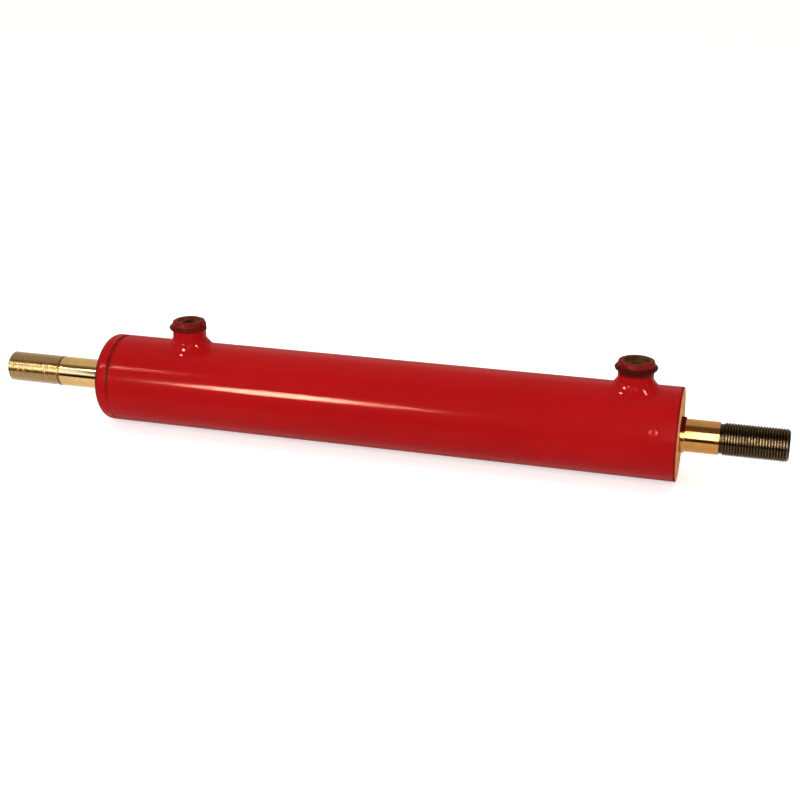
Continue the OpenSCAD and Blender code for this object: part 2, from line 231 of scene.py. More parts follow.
def turn(name: str, outline: list[tuple[float, float]], along: Vector, sides: int) -> Piece:
    """Draws an outline by extruding a point, and spins it into a round piece.

    Args:
        name: The piece's name.
        outline: Pairs of distance along the axis and radius, in order round the section.
        along: The axis, a unit vector through the origin.
        sides: Faces round the axis.

    Returns:
        The round mesh object, still with sharp edges.
    """
    across = Vector((0, 0, 1)) if abs(along.x) > 0.5 else Vector((1, 0, 0))
    places = [along * place + across * radius for place, radius in outline]
    bpy.ops.object.select_all(action="DESELECT")
    bpy.ops.mesh.primitive_plane_add(size=MM, location=places[0])
    piece = settle(name)
    with editing(piece):
        bpy.ops.mesh.select_all(action="SELECT")
        bpy.ops.mesh.merge(type="CENTER")
        for start, stop in zip(places, places[1:]):
            bpy.ops.mesh.extrude_region_move(TRANSFORM_OT_translate={"value": stop - start})
        bpy.ops.mesh.select_all(action="SELECT")
        bpy.ops.mesh.spin(steps=sides, angle=FULL_TURN, center=(0, 0, 0), axis=along)
    return piece


def copy_of(piece: Piece, name: str) -> Piece:
    """Copies a piece, mesh and all.

    Args:
        piece: The mesh object.
        name: The copy's name.

    Returns:
        The copy, in the same place.
    """
    other = piece.copy()
    other.data = piece.data.copy()
    other.name = name
    other.data.name = name
    bpy.context.scene.collection.objects.link(other)
    return other


def seat(piece: Piece, body: Body, slot: Slot, *nodes: str) -> None:
    """Puts a finished piece on its body in place of CAD nodes.

    Args:
        piece: The finished object.
        body: The body that it moves with.
        slot: Not used.
        nodes: The CAD nodes that it stands for.
    """
    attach(piece, body.value)
    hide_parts(*nodes)
    log.info("%s: %d faces, rides on %s", piece.name, len(piece.data.polygons), body.value)


# Shader building


class Sheet:
    """A node tree under construction, with short ways to add, set and link nodes."""

    def __init__(self, tree: Tree) -> None:
        """Keeps the tree that the nodes go into."""
        self.tree = tree

    def node(
        self, kind: str, inputs: dict[str | int, Feed] | None = None, **settings: object
    ) -> bpy.types.Node:
        """Adds a node.

        Args:
            kind: The node's type name without its ShaderNode prefix.
            inputs: What each input holds or is linked to.
            settings: The node's own settings.

        Returns:
            The new node.
        """
        made = self.tree.nodes.new("ShaderNode" + kind)
        for name, value in settings.items():
            setattr(made, name, value)
        for key, value in (inputs or {}).items():
            self.feed(made.inputs[key], value)
        return made

    def feed(self, socket: Socket, value: Feed) -> None:
        """Sets a socket to a plain value, or links it to another socket.

        Args:
            socket: The input to feed.
            value: A plain value, or the socket that it comes from.
        """
        if isinstance(value, Socket):
            self.tree.links.new(value, socket)
        elif socket.type == "RGBA":
            socket.default_value = (*value, 1.0)
        else:
            socket.default_value = value

    def noise(self, vector: Socket, scale: Feed, detail: float = 2.0, rough: float = 0.5) -> Socket:
        """A cloudy value between 0 and 1.

        Args:
            vector: Where it is read.
            scale: Clouds per metre.
            detail: How many finer layers it has.
            rough: How strong the finer layers are.

        Returns:
            The value's socket.
        """
        inputs = {"Vector": vector, "Scale": scale, "Detail": detail, "Roughness": rough}
        return self.node("TexNoise", inputs).outputs[0]

    def span(self, value: Feed, low: Feed, high: Feed, start: Feed = 0.0, stop: Feed = 1.0) -> Socket:
        """Eases a value from one range to another.

        Args:
            value: What is read.
            low: Where the result begins to leave start.
            high: Where the result arrives at stop.
            start: The result below low.
            stop: The result above high.

        Returns:
            The eased value's socket.
        """
        inputs = {"Value": value, "From Min": low, "From Max": high, "To Min": start, "To Max": stop}
        return self.node("MapRange", inputs, interpolation_type="SMOOTHSTEP").outputs[0]

    def fade(self, mask: Feed, start: float, stop: float) -> Socket:
        """A value that eases from start to stop as a mask goes from 0 to 1."""
        return self.span(mask, 0.0, 1.0, start, stop)

    def math(self, operation: str, first: Feed, second: Feed = 0.0) -> Socket:
        """The result of a sum on one or two values."""
        return self.node("Math", {0: first, 1: second}, operation=operation).outputs[0]

    def times(self, first: Feed, second: Feed) -> Socket:
        """The product of two values."""
        return self.math("MULTIPLY", first, second)

    def plus(self, first: Feed, second: Feed) -> Socket:
        """The sum of two values."""
        return self.math("ADD", first, second)

    def most(self, first: Feed, second: Feed) -> Socket:
        """The larger of two values."""
        return self.math("MAXIMUM", first, second)

    def mix(self, share: Feed, first: Feed, second: Feed) -> Socket:
        """A colour that goes from the first to the second as share goes from 0 to 1."""
        return self.node("Mix", {0: share, 6: first, 7: second}, data_type="RGBA").outputs[2]

    def split(self, vector: Socket) -> tuple[Socket, Socket, Socket]:
        """The three parts of a vector."""
        parts = self.node("SeparateXYZ", {0: vector}).outputs
        return parts[0], parts[1], parts[2]

    def seen_from(self, vector: Socket, centre: Point) -> Socket:
        """A point measured from a centre."""
        return self.node("VectorMath", {0: vector, 1: centre}, operation="SUBTRACT").outputs[0]

    def radius(self, vector: Socket, across: Point = (0.0, 1.0, 1.0)) -> Socket:
        """How far a point lies from the cylinder's axis, or from the one that across is square to."""
        flat = self.node("VectorMath", {0: vector, 1: across}, operation="MULTIPLY").outputs[0]
        return self.node("VectorMath", {0: flat}, operation="LENGTH").outputs["Value"]


class Surface(Sheet):
    """A material under construction, with its surface shader and the point that is shaded."""

    def __init__(self, name: str) -> None:
        """Begins a material."""
        self.material = bpy.data.materials.new(name)
        self.material.use_nodes = True
        super().__init__(self.material.node_tree)
        self.shader = self.tree.nodes["Principled BSDF"]

    @cached_property
    def point(self) -> Socket:
        """The surface point in the part's own frame, in metres."""
        return self.node("TexCoord").outputs["Object"]

    def put(self, values: dict[str, Feed]) -> None:
        """Sets or links inputs of the surface shader."""
        for name, value in values.items():
            self.feed(self.shader.inputs[name], value)

    def effect(self, group: Callable[[], Tree], **inputs: Feed) -> Socket:
        """The result of a shared effect at the surface point, with its own values."""
        return self.node("Group", {"Vector": self.point, **inputs}, node_tree=group()).outputs[0]

    def bump(self, height: Socket, depth: float, strength: float) -> None:
        """Gives the surface its relief.

        Args:
            height: The relief, about 0 to 1.
            depth: What 1 stands for, in metres.
            strength: How much of the relief shows.
        """
        inputs = {"Height": height, "Distance": depth, "Strength": strength}
        self.put({"Normal": self.node("Bump", inputs).outputs[0]})


def new_effect(name: str, inputs: dict[str, float], output: str) -> tuple[Sheet, dict[str, Socket], Socket]:
    """Begins an effect group that reads a point and some values.

    Args:
        name: The group's name.
        inputs: Its value inputs and what they start at.
        output: The name of its value output.

    Returns:
        The group's sheet, its input sockets by name, and the socket that its result goes into.
    """
    tree = bpy.data.node_groups.new(name, "ShaderNodeTree")
    tree.interface.new_socket(name="Vector", in_out="INPUT", socket_type="NodeSocketVector")
    for label, start in inputs.items():
        socket = tree.interface.new_socket(name=label, in_out="INPUT", socket_type="NodeSocketFloat")
        socket.default_value = start
    tree.interface.new_socket(name=output, in_out="OUTPUT", socket_type="NodeSocketFloat")
    entry = tree.nodes.new("NodeGroupInput")
    result = tree.nodes.new("NodeGroupOutput")
    return Sheet(tree), {socket.name: socket for socket in entry.outputs}, result.inputs[0]


@cache
def sprayed_skin() -> Tree:
    """Height of sprayed paint: a fine orange peel on long shallow waves.

    Returns:
        The effect group.
    """
    sheet, given, result = new_effect("sprayed_skin", {"Peel": 900.0, "Waves": 60.0}, "Height")
    peel_share = 0.35
    peel = sheet.noise(given["Vector"], given["Peel"], 1.0)
    waves = sheet.noise(given["Vector"], given["Waves"], 1.0)
    sheet.feed(result, sheet.plus(sheet.times(peel, peel_share), waves))
    return sheet.tree


@cache
def cloudy_tone() -> Tree:
    """Mask of large soft clouds with smaller ones in them, for tone, oil film and dust.

    Returns:
        The effect group.
    """
    sheet, given, result = new_effect("cloudy_tone", {"Scale": 20.0, "Low": 0.35, "High": 0.65}, "Mask")
    clouds = sheet.noise(given["Vector"], given["Scale"], detail=5.0, rough=0.62)
    sheet.feed(result, sheet.span(clouds, given["Low"], given["High"]))
    return sheet.tree


@cache
def specks() -> Tree:
    """Mask of small separate spots, such as dust nibs, pits and pale flecks.

    Returns:
        The effect group.
    """
    sheet, given, result = new_effect("specks", {"Scale": 700.0, "Size": 0.2}, "Mask")
    patch_scale, soft_edge = 0.13, 0.5
    inputs = {"Vector": given["Vector"], "Scale": given["Scale"]}
    cells = sheet.node("TexVoronoi", inputs).outputs["Distance"]
    patch = sheet.noise(given["Vector"], sheet.times(given["Scale"], patch_scale))
    wide = sheet.times(given["Size"], sheet.span(patch, 0.5, 0.75))
    sheet.feed(result, sheet.span(cells, sheet.times(wide, soft_edge), wide, 1.0, 0.0))
    return sheet.tree


@cache
def tool_marks() -> Tree:
    """Height of the fine lines that a lathe tool or a polishing belt leaves round the axis.

    Returns:
        The effect group.
    """
    sheet, given, result = new_effect("tool_marks", {"Lines": 9000.0}, "Height")
    x, _, _ = sheet.split(given["Vector"])
    place = sheet.times(sheet.plus(x, sheet.radius(given["Vector"])), given["Lines"])
    inputs = {"W": place, "Scale": 1.0, "Detail": 3.0}
    sheet.feed(result, sheet.node("TexNoise", inputs, noise_dimensions="1D").outputs[0])
    return sheet.tree


@cache
def ring_band() -> Tree:
    """Mask of a band round the axis at one place along it, with a wandering edge.

    Returns:
        The effect group.
    """
    sheet, given, result = new_effect("ring_band", {"Place": 0.0, "Half": 0.001, "Wander": 0.3}, "Mask")
    wander_scale, least_width, soft_edge = 260.0, 0.6, 0.5
    x, _, _ = sheet.split(given["Vector"])
    off = sheet.math("ABSOLUTE", sheet.math("SUBTRACT", x, given["Place"]))
    drift = sheet.times(sheet.noise(given["Vector"], wander_scale, 3.0), given["Wander"])
    wide = sheet.times(given["Half"], sheet.plus(drift, least_width))
    sheet.feed(result, sheet.span(off, sheet.times(wide, soft_edge), wide, 1.0, 0.0))
    return sheet.tree


# Finishes


@dataclass(frozen=True)
class Finish(ABC):
    """One finish, with the values that every surface has."""

    name: str
    colour: Colour
    second: Colour
    rough: float = 0.4
    metal: float = 0.0
    specular: float = 0.5
    glint: Colour = WHITE
    coat: float = 0.0
    coat_rough: float = 0.06

    @cache
    def material(self) -> bpy.types.Material:
        """Builds the material.

        Returns:
            The material, the same one each time.
        """
        skin = Surface(self.name)
        skin.put({
            "Roughness": self.rough, "Metallic": self.metal, "Specular IOR Level": self.specular,
            "Specular Tint": self.glint, "Coat Weight": self.coat, "Coat Roughness": self.coat_rough,
        })
        self.paint(skin)
        return skin.material

    @abstractmethod
    def paint(self, skin: Surface) -> None:
        """Links the colours, the gloss and the relief that this kind of finish has."""


@dataclass(frozen=True)
class Enamel(Finish):
    """Glossy sprayed enamel, darker in a seam, with painted shade along a rim and on a boss's top under the
    plug's flange, and bare metal inside a bore.
    """

    rough: float = 0.09
    specular: float = 0.05
    glint: Colour = RED_GLINT
    glancing: float = 0.35
    steel: Colour = (0.4, 0.37, 0.33)
    shade: Colour = (0.17, 0.004, 0.003)
    # The colour of the painted shade along the rim.
    edge: Colour = (0.2, 0.004, 0.002)
    fleck: Colour = (0.68, 0.1, 0.085)
    boss_top_shade: Colour = (0.05, 0.006, 0.005)
    seam_x: float = 1.0
    seam_width: float = 3.0 * MM
    fleck_width: float = 5.0 * MM
    rim_x: float = 1.0
    rim_width: float = 2.0 * MM
    boss_shade_z: float = 1.0
    boss_shade_from: float = 3.4 * MM
    bore_radius: float = 0.0
    bore_edge: float = 0.3 * MM
    lumps: float = 0.14
    dust_share: float = 0.2
    rim_shade_share: float = 0.9
    drift_in_tone: float = 0.03
    dulling: float = 0.35
    glancing_from: float = 0.4
    glancing_to: float = 0.8
    peel_depth: float = 0.05 * MM

    def shadowed(self, skin: Surface) -> Socket:
        """Where the paint is darker: in the seam, most of all on top.

        Args:
            skin: The material under construction.

        Returns:
            The mask's socket.
        """
        _, _, z = skin.split(skin.point)
        half_height = 16 * MM
        blotch = skin.effect(cloudy_tone, Scale=170.0, Low=0.25, High=0.6)
        seam = skin.effect(ring_band, Place=self.seam_x, Half=self.seam_width)
        settled = skin.span(z, -half_height, half_height, 0.05, 1.0)
        return skin.times(seam, skin.times(settled, skin.fade(blotch, 0.5, 1.0)))

    def flecked(self, skin: Surface) -> Socket:
        """Where pale flecks lie beside the seam.

        Args:
            skin: The material under construction.

        Returns:
            The mask's socket.
        """
        strength = 0.7
        beside = skin.effect(ring_band, Place=self.seam_x, Half=self.fleck_width)
        flecks = skin.effect(specks, Scale=230.0, Size=0.34)
        return skin.times(skin.times(beside, flecks), strength)

    def boss_top_shaded(self, skin: Surface) -> Socket:
        """Where painted shade lies on the top of a boss, under the plug's flange.

        Args:
            skin: The material under construction.

        Returns:
            The mask's socket.
        """
        _, _, z = skin.split(skin.point)
        drift = skin.times(skin.noise(skin.point, 240.0, 3.0), 2 * MM)
        return skin.span(skin.plus(z, drift), self.boss_shade_z - self.boss_shade_from, self.boss_shade_z - MM, 0.0, 0.85)

    def paint(self, skin: Surface) -> None:
        """Links the paint's layers, its gloss and its orange peel.

        Args:
            skin: The material under construction.
        """
        tone = skin.effect(cloudy_tone, Scale=14.0, Low=0.3, High=0.7)
        dust = skin.effect(specks, Scale=420.0, Size=0.14)
        dark = self.shadowed(skin)
        # Painted shade: a dark band along the rim.
        rim_shade = skin.effect(ring_band, Place=self.rim_x, Half=self.rim_width)
        away = skin.radius(skin.point)
        bare = skin.span(away, self.bore_radius - self.bore_edge, self.bore_radius, 1.0, 0.0)
        layers = (
            (skin.times(dust, self.dust_share), self.fleck), (dark, self.shade),
            (skin.times(rim_shade, self.rim_shade_share), self.edge),
            (self.flecked(skin), self.fleck), (self.boss_top_shaded(skin), self.boss_top_shade), (bare, self.steel),
        )
        colour = skin.mix(tone, self.colour, self.second)
        for mask, layer in layers:
            colour = skin.mix(mask, colour, layer)
        gloss = skin.fade(tone, self.rough, self.rough + self.drift_in_tone)
        dull = skin.times(skin.most(skin.most(dark, rim_shade), bare), self.dulling)
        facing = skin.node("LayerWeight", {"Blend": 0.5}).outputs["Facing"]
        dull = skin.plus(dull, skin.span(facing, self.glancing_from, self.glancing_to, 0.0, self.glancing))
        skin.put({"Base Color": colour, "Metallic": bare, "Roughness": skin.plus(gloss, dull)})
        skin.bump(skin.effect(sprayed_skin), self.peel_depth, self.lumps)


@dataclass(frozen=True)
class HighlightedEnamel(Finish):
    """Dull enamel on a screw's head, with painted highlights on two sides of its rim."""

    rough: float = 0.4
    specular: float = 0.05
    glint: Colour = RED_GLINT
    painted_highlight: Colour = (0.75, 0.085, 0.07)
    centre: Point = (0.0, 0.0, 0.0)

    def paint(self, skin: Surface) -> None:
        """Links the two painted highlights beside the screw's centre.

        Args:
            skin: The material under construction.
        """
        x, _, z = skin.split(skin.seen_from(skin.point, self.centre))
        beside = skin.span(skin.math("ABSOLUTE", x), 0.9 * MM, 1.6 * MM)
        level = skin.span(skin.math("ABSOLUTE", z), 0.5 * MM, 1.7 * MM, 1.0, 0.0)
        patchy = skin.effect(cloudy_tone, Scale=600.0, Low=0.2, High=0.5)
        # Painted highlights: two pale spots on the rim, left and right of the centre.
        highlit = skin.times(skin.times(beside, level), skin.fade(patchy, 0.6, 1.0))
        enamel = skin.mix(patchy, self.second, self.colour)
        gloss = skin.fade(highlit, self.rough, self.rough - 0.15)
        skin.put({"Base Color": skin.mix(highlit, enamel, self.painted_highlight), "Roughness": gloss})
        skin.bump(skin.effect(sprayed_skin, Peel=1400.0, Waves=240.0), 0.05 * MM, 0.3)


@dataclass(frozen=True)
class TurnedMetal(Finish):
    """Machined metal with tool marks, a drifting film of oil and fine pits."""

    rough: float = 0.26
    metal: float = 1.0
    lines: float = 9000.0
    relief: float = 0.3
    pits: float = 0.12
    pit_share: float = 0.7
    pit_shade: float = 0.3
    pit_rough: float = 0.3
    film_rough: float = 0.08
    mark_depth: float = 0.01 * MM

    def paint(self, skin: Surface) -> None:
        """Links the oil film, the pits and the tool marks.

        Args:
            skin: The material under construction.
        """
        film = skin.effect(cloudy_tone, Scale=70.0)
        pits = skin.effect(specks, Scale=900.0, Size=self.pits)
        marks = skin.effect(tool_marks, Lines=self.lines)
        colour = skin.mix(film, self.colour, self.second)
        pitted = skin.mix(skin.times(pits, self.pit_share), colour, scaled(self.second, self.pit_shade))
        gloss = skin.fade(film, self.rough, self.rough + self.film_rough)
        skin.put({"Base Color": pitted, "Roughness": skin.plus(gloss, skin.times(pits, self.pit_rough))})
        skin.bump(skin.math("SUBTRACT", marks, pits), self.mark_depth, self.relief)


@dataclass(frozen=True)
class CutThread(Finish):
    """A cut thread: worn crests that shine, oil and dirt down in the grooves."""

    rough: float = 0.3
    metal: float = 1.0
    crest_radius: float = 0.0
    depth: float = 1.0 * MM
    groove: Colour = (0.02, 0.014, 0.008)
    relief: float = 0.4

    def paint(self, skin: Surface) -> None:
        """Links the worn crests and the dirty grooves.

        Args:
            skin: The material under construction.
        """
        low, high = self.crest_radius - 0.5 * self.depth, self.crest_radius - 0.08 * self.depth
        crest = skin.span(skin.radius(skin.point), low, high)
        grit = skin.effect(cloudy_tone, Scale=520.0, Low=0.36, High=0.6)
        worn = skin.mix(grit, self.second, self.colour)
        gloss = skin.fade(grit, self.rough + 0.12, self.rough)
        skin.put({"Base Color": skin.mix(crest, self.groove, worn), "Roughness": gloss})
        skin.bump(grit, 0.02 * MM, self.relief)


@dataclass(frozen=True)
class WiperLipFinish(Finish):
    """A bright scraper lip, dark red and dull on its upper side, in a seat that dried oil covers."""

    rough: float = 0.14
    specular: float = 0.0
    film: Colour = (0.8, 0.4, 0.2)
    film_rough: float = 0.5
    top_dark_red: Colour = (0.11, 0.004, 0.004)
    top_dark_red_z: float = 6.0 * MM
    lip_radius: float = 12.2 * MM

    def paint(self, skin: Surface) -> None:
        """Links the bright lip, the dark red on its upper side and the oil on its seat.

        Args:
            skin: The material under construction.
        """
        _, _, z = skin.split(skin.point)
        clouds = skin.effect(cloudy_tone, Scale=160.0)
        drift = skin.times(skin.noise(skin.point, 320.0, 3.0), 3 * MM)
        on_top = skin.span(skin.plus(z, drift), self.top_dark_red_z, self.top_dark_red_z + 2 * MM)
        seat_ring = skin.span(skin.radius(skin.point), self.lip_radius, self.lip_radius + 0.2 * MM)
        metal = skin.mix(clouds, self.colour, self.second)
        dull = skin.most(on_top, seat_ring)
        skin.put({
            "Base Color": skin.mix(seat_ring, skin.mix(on_top, metal, self.top_dark_red), self.film),
            "Metallic": skin.math("SUBTRACT", 1.0, dull),
            "Roughness": skin.fade(dull, self.rough, self.film_rough),
        })
        skin.bump(skin.effect(tool_marks, Lines=12000.0), 0.01 * MM, 0.3)


@dataclass(frozen=True)
class Moulded(Finish):
    """Rubber or plastic from a mould: fine grain, soft clouds and a little dust."""

    grain: float = 1500.0
    relief: float = 0.35

    def paint(self, skin: Surface) -> None:
        """Links the clouds, the dust and the grain.

        Args:
            skin: The material under construction.
        """
        clouds = skin.effect(cloudy_tone, Scale=150.0)
        dust = skin.effect(specks, Scale=800.0, Size=0.2)
        colour = skin.mix(clouds, self.colour, self.second)
        light = tuple(min(1.0, 0.1 + 1.5 * part) for part in self.colour)
        gloss = skin.fade(clouds, self.rough, self.rough + 0.12)
        skin.put({"Base Color": skin.mix(skin.times(dust, 0.3), colour, light), "Roughness": gloss})
        skin.bump(skin.noise(skin.point, self.grain), 0.03 * MM, self.relief)


@dataclass(frozen=True)
class SprayedPlug(Finish):
    """Brown plastic with red overspray that thins out down in the recess, and painted shade on and under
    the flange.
    """

    rough: float = 0.5
    specular: float = 0.018
    glint: Colour = (1.0, 0.6, 0.45)
    overspray: Colour = (0.2, 0.011, 0.009)
    # The colour of the painted shade on and under the flange.
    dark: Colour = (0.04, 0.005, 0.004)
    axis_x: float = 0.0
    recess_radius: float = 9 * MM
    flange_z: float = 0.0

    def paint(self, skin: Surface) -> None:
        """Links the bare recess, the overspray and the painted shade on the flange.

        Args:
            skin: The material under construction.
        """
        away = skin.radius(skin.seen_from(skin.point, (self.axis_x, 0.0, 0.0)), across=(1.0, 1.0, 0.0))
        _, _, z = skin.split(skin.point)
        clouds = skin.effect(cloudy_tone, Scale=210.0)
        patchy = skin.effect(cloudy_tone, Scale=420.0, Low=0.3, High=0.55)
        reach = skin.plus(away, skin.times(skin.math("SUBTRACT", clouds, 0.5), 1.6 * MM))
        inside = skin.span(reach, self.recess_radius - 0.5 * MM, self.recess_radius + MM, 1.0, 0.0)
        # Painted shade: darker at and below the flange's shoulder.
        low = skin.span(z, self.flange_z - 0.2 * MM, self.flange_z + 1.2 * MM, 0.85, 0.0)
        plastic = skin.mix(clouds, self.colour, self.second)
        spray = skin.mix(patchy, scaled(self.overspray, 0.4), self.overspray)
        spray = skin.mix(low, spray, self.dark)
        gloss = skin.fade(patchy, self.rough + 0.15, self.rough - 0.1)
        skin.put({"Base Color": skin.mix(inside, spray, plastic), "Roughness": gloss})
        skin.bump(skin.effect(sprayed_skin, Peel=1400.0, Waves=240.0), 0.12 * MM, 0.6)


def scaled(colour: Colour, share: float) -> Colour:
    """A darker colour of the same hue."""
    return tuple(share * part for part in colour)


def pair(piece: str) -> list[str]:
    """The names of both ends' copies of a piece."""
    return [end.own(piece) for end in End]


def coat(piece: Piece, *finishes: Finish) -> None:
    """Gives a piece its finishes, one material slot each, in place of what it had.

    Args:
        piece: The mesh object.
        finishes: The finishes in the order of the slots.
    """
    piece.data.materials.clear()
    for finish in finishes:
        piece.data.materials.append(finish.material())


def dress(finish: Finish, *nodes: str) -> None:
    """Gives CAD nodes a finish.

    Args:
        finish: The finish.
        nodes: The nodes' names.
    """
    for name in nodes:
        coat(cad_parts[name], finish)
        log.info("%s: %s", name, finish.name)


# Sub-assemblies


@dataclass(frozen=True)
class ThreadForm:
    """The shape of one end's thread: the tool's cut, and the groove that it runs out into."""

    crest_gap: float
    depth: float
    groove_width: float
    groove_depth: float


@dataclass
class ThroughRod:
    """The rod that passes through the barrel, with a thread cut on each end."""

    sides: int = 128
    thread_pitch: float = 25.4 / 14 * MM
    thread_length: float = 44.45 * MM
    left_form: ThreadForm = ThreadForm(0.45 * MM, 0.3 * MM, groove_width=1.6 * MM, groove_depth=0.5 * MM)
    right_form: ThreadForm = ThreadForm(1.15 * MM, 0.8 * MM, groove_width=2.5 * MM, groove_depth=1.1 * MM)
    tip_chamfer: float = 1.6 * MM
    centre_radius: float = 2.6 * MM
    centre_depth: float = 4.2 * MM
    centre_taper: float = 0.08
    flank_deg: float = 30.0
    tool_clear: float = 0.1 * MM
    thread_smooth_deg: float = 25.0

    def __post_init__(self) -> None:
        """Takes the rod's ends and radius from its CAD node."""
        low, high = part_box("rod")
        self.tips = {End.LEFT: low.x, End.RIGHT: high.x}
        self.radius = high.z
        self.forms = {End.LEFT: self.left_form, End.RIGHT: self.right_form}

    def thread_start(self, end: End) -> float:
        """Where an end's thread leaves the shank, along X."""
        return self.tips[end] - end.value * self.thread_length

    def blank(self) -> Piece:
        """Turns the bar: chamfered tips, centre holes and the grooves that the threads run out into.

        Returns:
            The bar without its threads.
        """
        length = self.tips[End.RIGHT] - self.tips[End.LEFT]
        middle = (self.tips[End.RIGHT] + self.tips[End.LEFT]) / 2
        bpy.ops.object.select_all(action="DESELECT")
        bpy.ops.mesh.primitive_cylinder_add(
            vertices=self.sides, radius=self.radius, depth=length,
            location=(middle, 0, 0), rotation=(0, math.pi / 2, 0),
        )
        bar = settle("through_rod")
        with editing(bar):
            for end in End:
                self.shape_tip(bar, end)
            for end in End:
                self.cut_groove(bar, end)
            bpy.ops.mesh.select_all(action="SELECT")
            bpy.ops.mesh.bisect(plane_co=(middle, 0, 0), plane_no=(1, 0, 0))
        return bar

    def shape_tip(self, bar: Piece, end: End) -> None:
        """Chamfers one tip and drills its centre hole.

        Args:
            bar: The bar in edit mode.
            end: Which tip.
        """
        pick_faces(bar, lambda centre, normal: normal.x * end.value > 0.9)
        bpy.ops.mesh.bevel(offset=self.tip_chamfer, segments=1, affect="EDGES")
        pick_faces(bar, lambda centre, normal: normal.x * end.value > 0.99)
        bpy.ops.mesh.inset(thickness=self.radius - self.tip_chamfer - self.centre_radius)
        inwards = Vector((-end.value * self.centre_depth, 0, 0))
        bpy.ops.mesh.extrude_region_move(TRANSFORM_OT_translate={"value": inwards})
        hole_end = (self.tips[end] + inwards.x, 0, 0)
        taper = (1, self.centre_taper, self.centre_taper)
        bpy.ops.transform.resize(value=taper, center_override=hole_end)

    def cut_groove(self, bar: Piece, end: End) -> None:
        """Sinks the groove at the inner end of a thread.

        Args:
            bar: The bar in edit mode.
            end: Which thread.
        """
        form = self.forms[end]
        near = self.thread_start(end)
        far = near + end.value * form.groove_width
        for place in (near, far):
            bpy.ops.mesh.select_all(action="SELECT")
            bpy.ops.mesh.bisect(plane_co=(place, 0, 0), plane_no=(1, 0, 0))
        first, last = sorted((near, far))
        pick_faces(bar, lambda centre, normal: first < centre.x < last)
        bpy.ops.mesh.extrude_region_move(TRANSFORM_OT_translate={"value": (0, 0, 0)})
        share = (self.radius - form.groove_depth) / self.radius
        bpy.ops.transform.resize(value=(1, share, share), center_override=((near + far) / 2, 0, 0))

    def cutter(self, end: End) -> Piece:
        """Winds the path of the threading tool: a trapezium swept along the helix.

        Args:
            end: Which thread it cuts.

        Returns:
            The closed helical solid that is taken away from the bar.
        """
        slope = math.tan(math.radians(self.flank_deg))
        form = self.forms[end]
        outer = form.crest_gap / 2 + self.tool_clear * slope
        inner = form.crest_gap / 2 - form.depth * slope
        runs_out = self.thread_start(end) + end.value * form.groove_width / 2
        turns = math.ceil((self.thread_length - form.groove_width / 2) / self.thread_pitch) + 1
        start = runs_out if end is End.RIGHT else runs_out - turns * self.thread_pitch
        low, high = self.radius - form.depth, self.radius + self.tool_clear
        bpy.ops.object.select_all(action="DESELECT")
        bpy.ops.mesh.primitive_circle_add(vertices=4, radius=MM)
        tool = settle("threading_tool")
        corners = [(start - inner, low), (start + inner, low), (start + outer, high), (start - outer, high)]
        for vertex, (x, z) in zip(tool.data.vertices, corners):
            vertex.co = (x, 0, z)
        finish_with(
            tool, "SCREW", axis="X", angle=FULL_TURN, screw_offset=self.thread_pitch, iterations=turns,
            steps=self.sides, render_steps=self.sides, use_merge_vertices=False, use_smooth_shade=False,
        )
        with editing(tool):
            bpy.ops.mesh.select_mode(type="VERT")
            bpy.ops.mesh.select_all(action="SELECT")
            bpy.ops.mesh.remove_doubles(threshold=DOUBLES)
            bpy.ops.mesh.select_all(action="DESELECT")
            bpy.ops.mesh.select_non_manifold()
            bpy.ops.mesh.fill_holes(sides=4)
            bpy.ops.mesh.select_all(action="SELECT")
            bpy.ops.mesh.normals_make_consistent(inside=False)
        return tool

    def build(self) -> None:
        """Cuts the threads, smooths the rod and gives shank and threads their finishes."""
        bar = self.blank()
        clean(bar)
        for end in End:
            cut(bar, self.cutter(end))
        clean(bar, self.thread_smooth_deg)
        self.dress(bar)
        seat(bar, Body.ROD, Slot.CHROME, "rod")

    def dress(self, bar: Piece) -> None:
        """Puts oiled chrome on each half of the shank and a thread's own finish on each end.

        Args:
            bar: The finished rod.
        """
        shank = {"lines": 16000.0, "relief": 0.08, "pits": 0.08}
        left = TurnedMetal(
            "left_chrome", (0.56, 0.35, 0.11), (0.46, 0.28, 0.085), rough=0.07, coat=1.0,
            glint=(1.0, 0.85, 0.6), **shank,
        )
        right = TurnedMetal(
            "right_chrome", (0.45, 0.2, 0.028), (0.37, 0.16, 0.018), rough=0.1, coat=0.8,
            glint=(1.0, 0.75, 0.45), **shank,
        )
        brown = CutThread(
            "left_thread", (0.31, 0.18, 0.047), (0.25, 0.14, 0.035), rough=0.16, coat=1.0, relief=0.15,
            crest_radius=self.radius, depth=self.left_form.depth, groove=(0.16, 0.085, 0.022),
        )
        dark = CutThread(
            "right_thread", (0.11, 0.072, 0.03), (0.055, 0.035, 0.014), rough=0.2,
            crest_radius=self.radius, depth=self.right_form.depth, groove=(0.03, 0.02, 0.01),
        )
        coat(bar, left, right, brown, dark)
        middle = (self.tips[End.LEFT] + self.tips[End.RIGHT]) / 2
        for face in bar.data.polygons:
            if face.center.x < self.thread_start(End.LEFT):
                face.material_index = 2
            elif face.center.x > self.thread_start(End.RIGHT):
                face.material_index = 3
            else:
                face.material_index = int(face.center.x > middle)


DAB_FRONT = (0.057, -0.957, 0.286)
DAB_BACK = (0.199, 0.938, 0.283)


@dataclass(frozen=True)
class Dab:
    """A lump on a weld: where it lies round the boss and up the face, and the way that its front faces."""

    around_deg: float
    share: float
    faces: Point
    flat: float = 1.1 * MM
    reach: float = 2.6 * MM
    rise: float = 0.3 * MM

    def swell(self, place: Vector, foot: Vector) -> Vector:
        """Pulls a point near the dab towards its front.

        Args:
            place: A point of the weld's face.
            foot: Where the dab lies on that face.

        Returns:
            The point on the lump.
        """
        front = Vector(self.faces).normalized()
        share = (self.reach - (place - foot).length) / (self.reach - self.flat)
        share = min(max(share, 0.0), 1.0)
        ease = share * share * (3 - 2 * share)
        return place + front * ease * ((foot - place).dot(front) + self.rise)


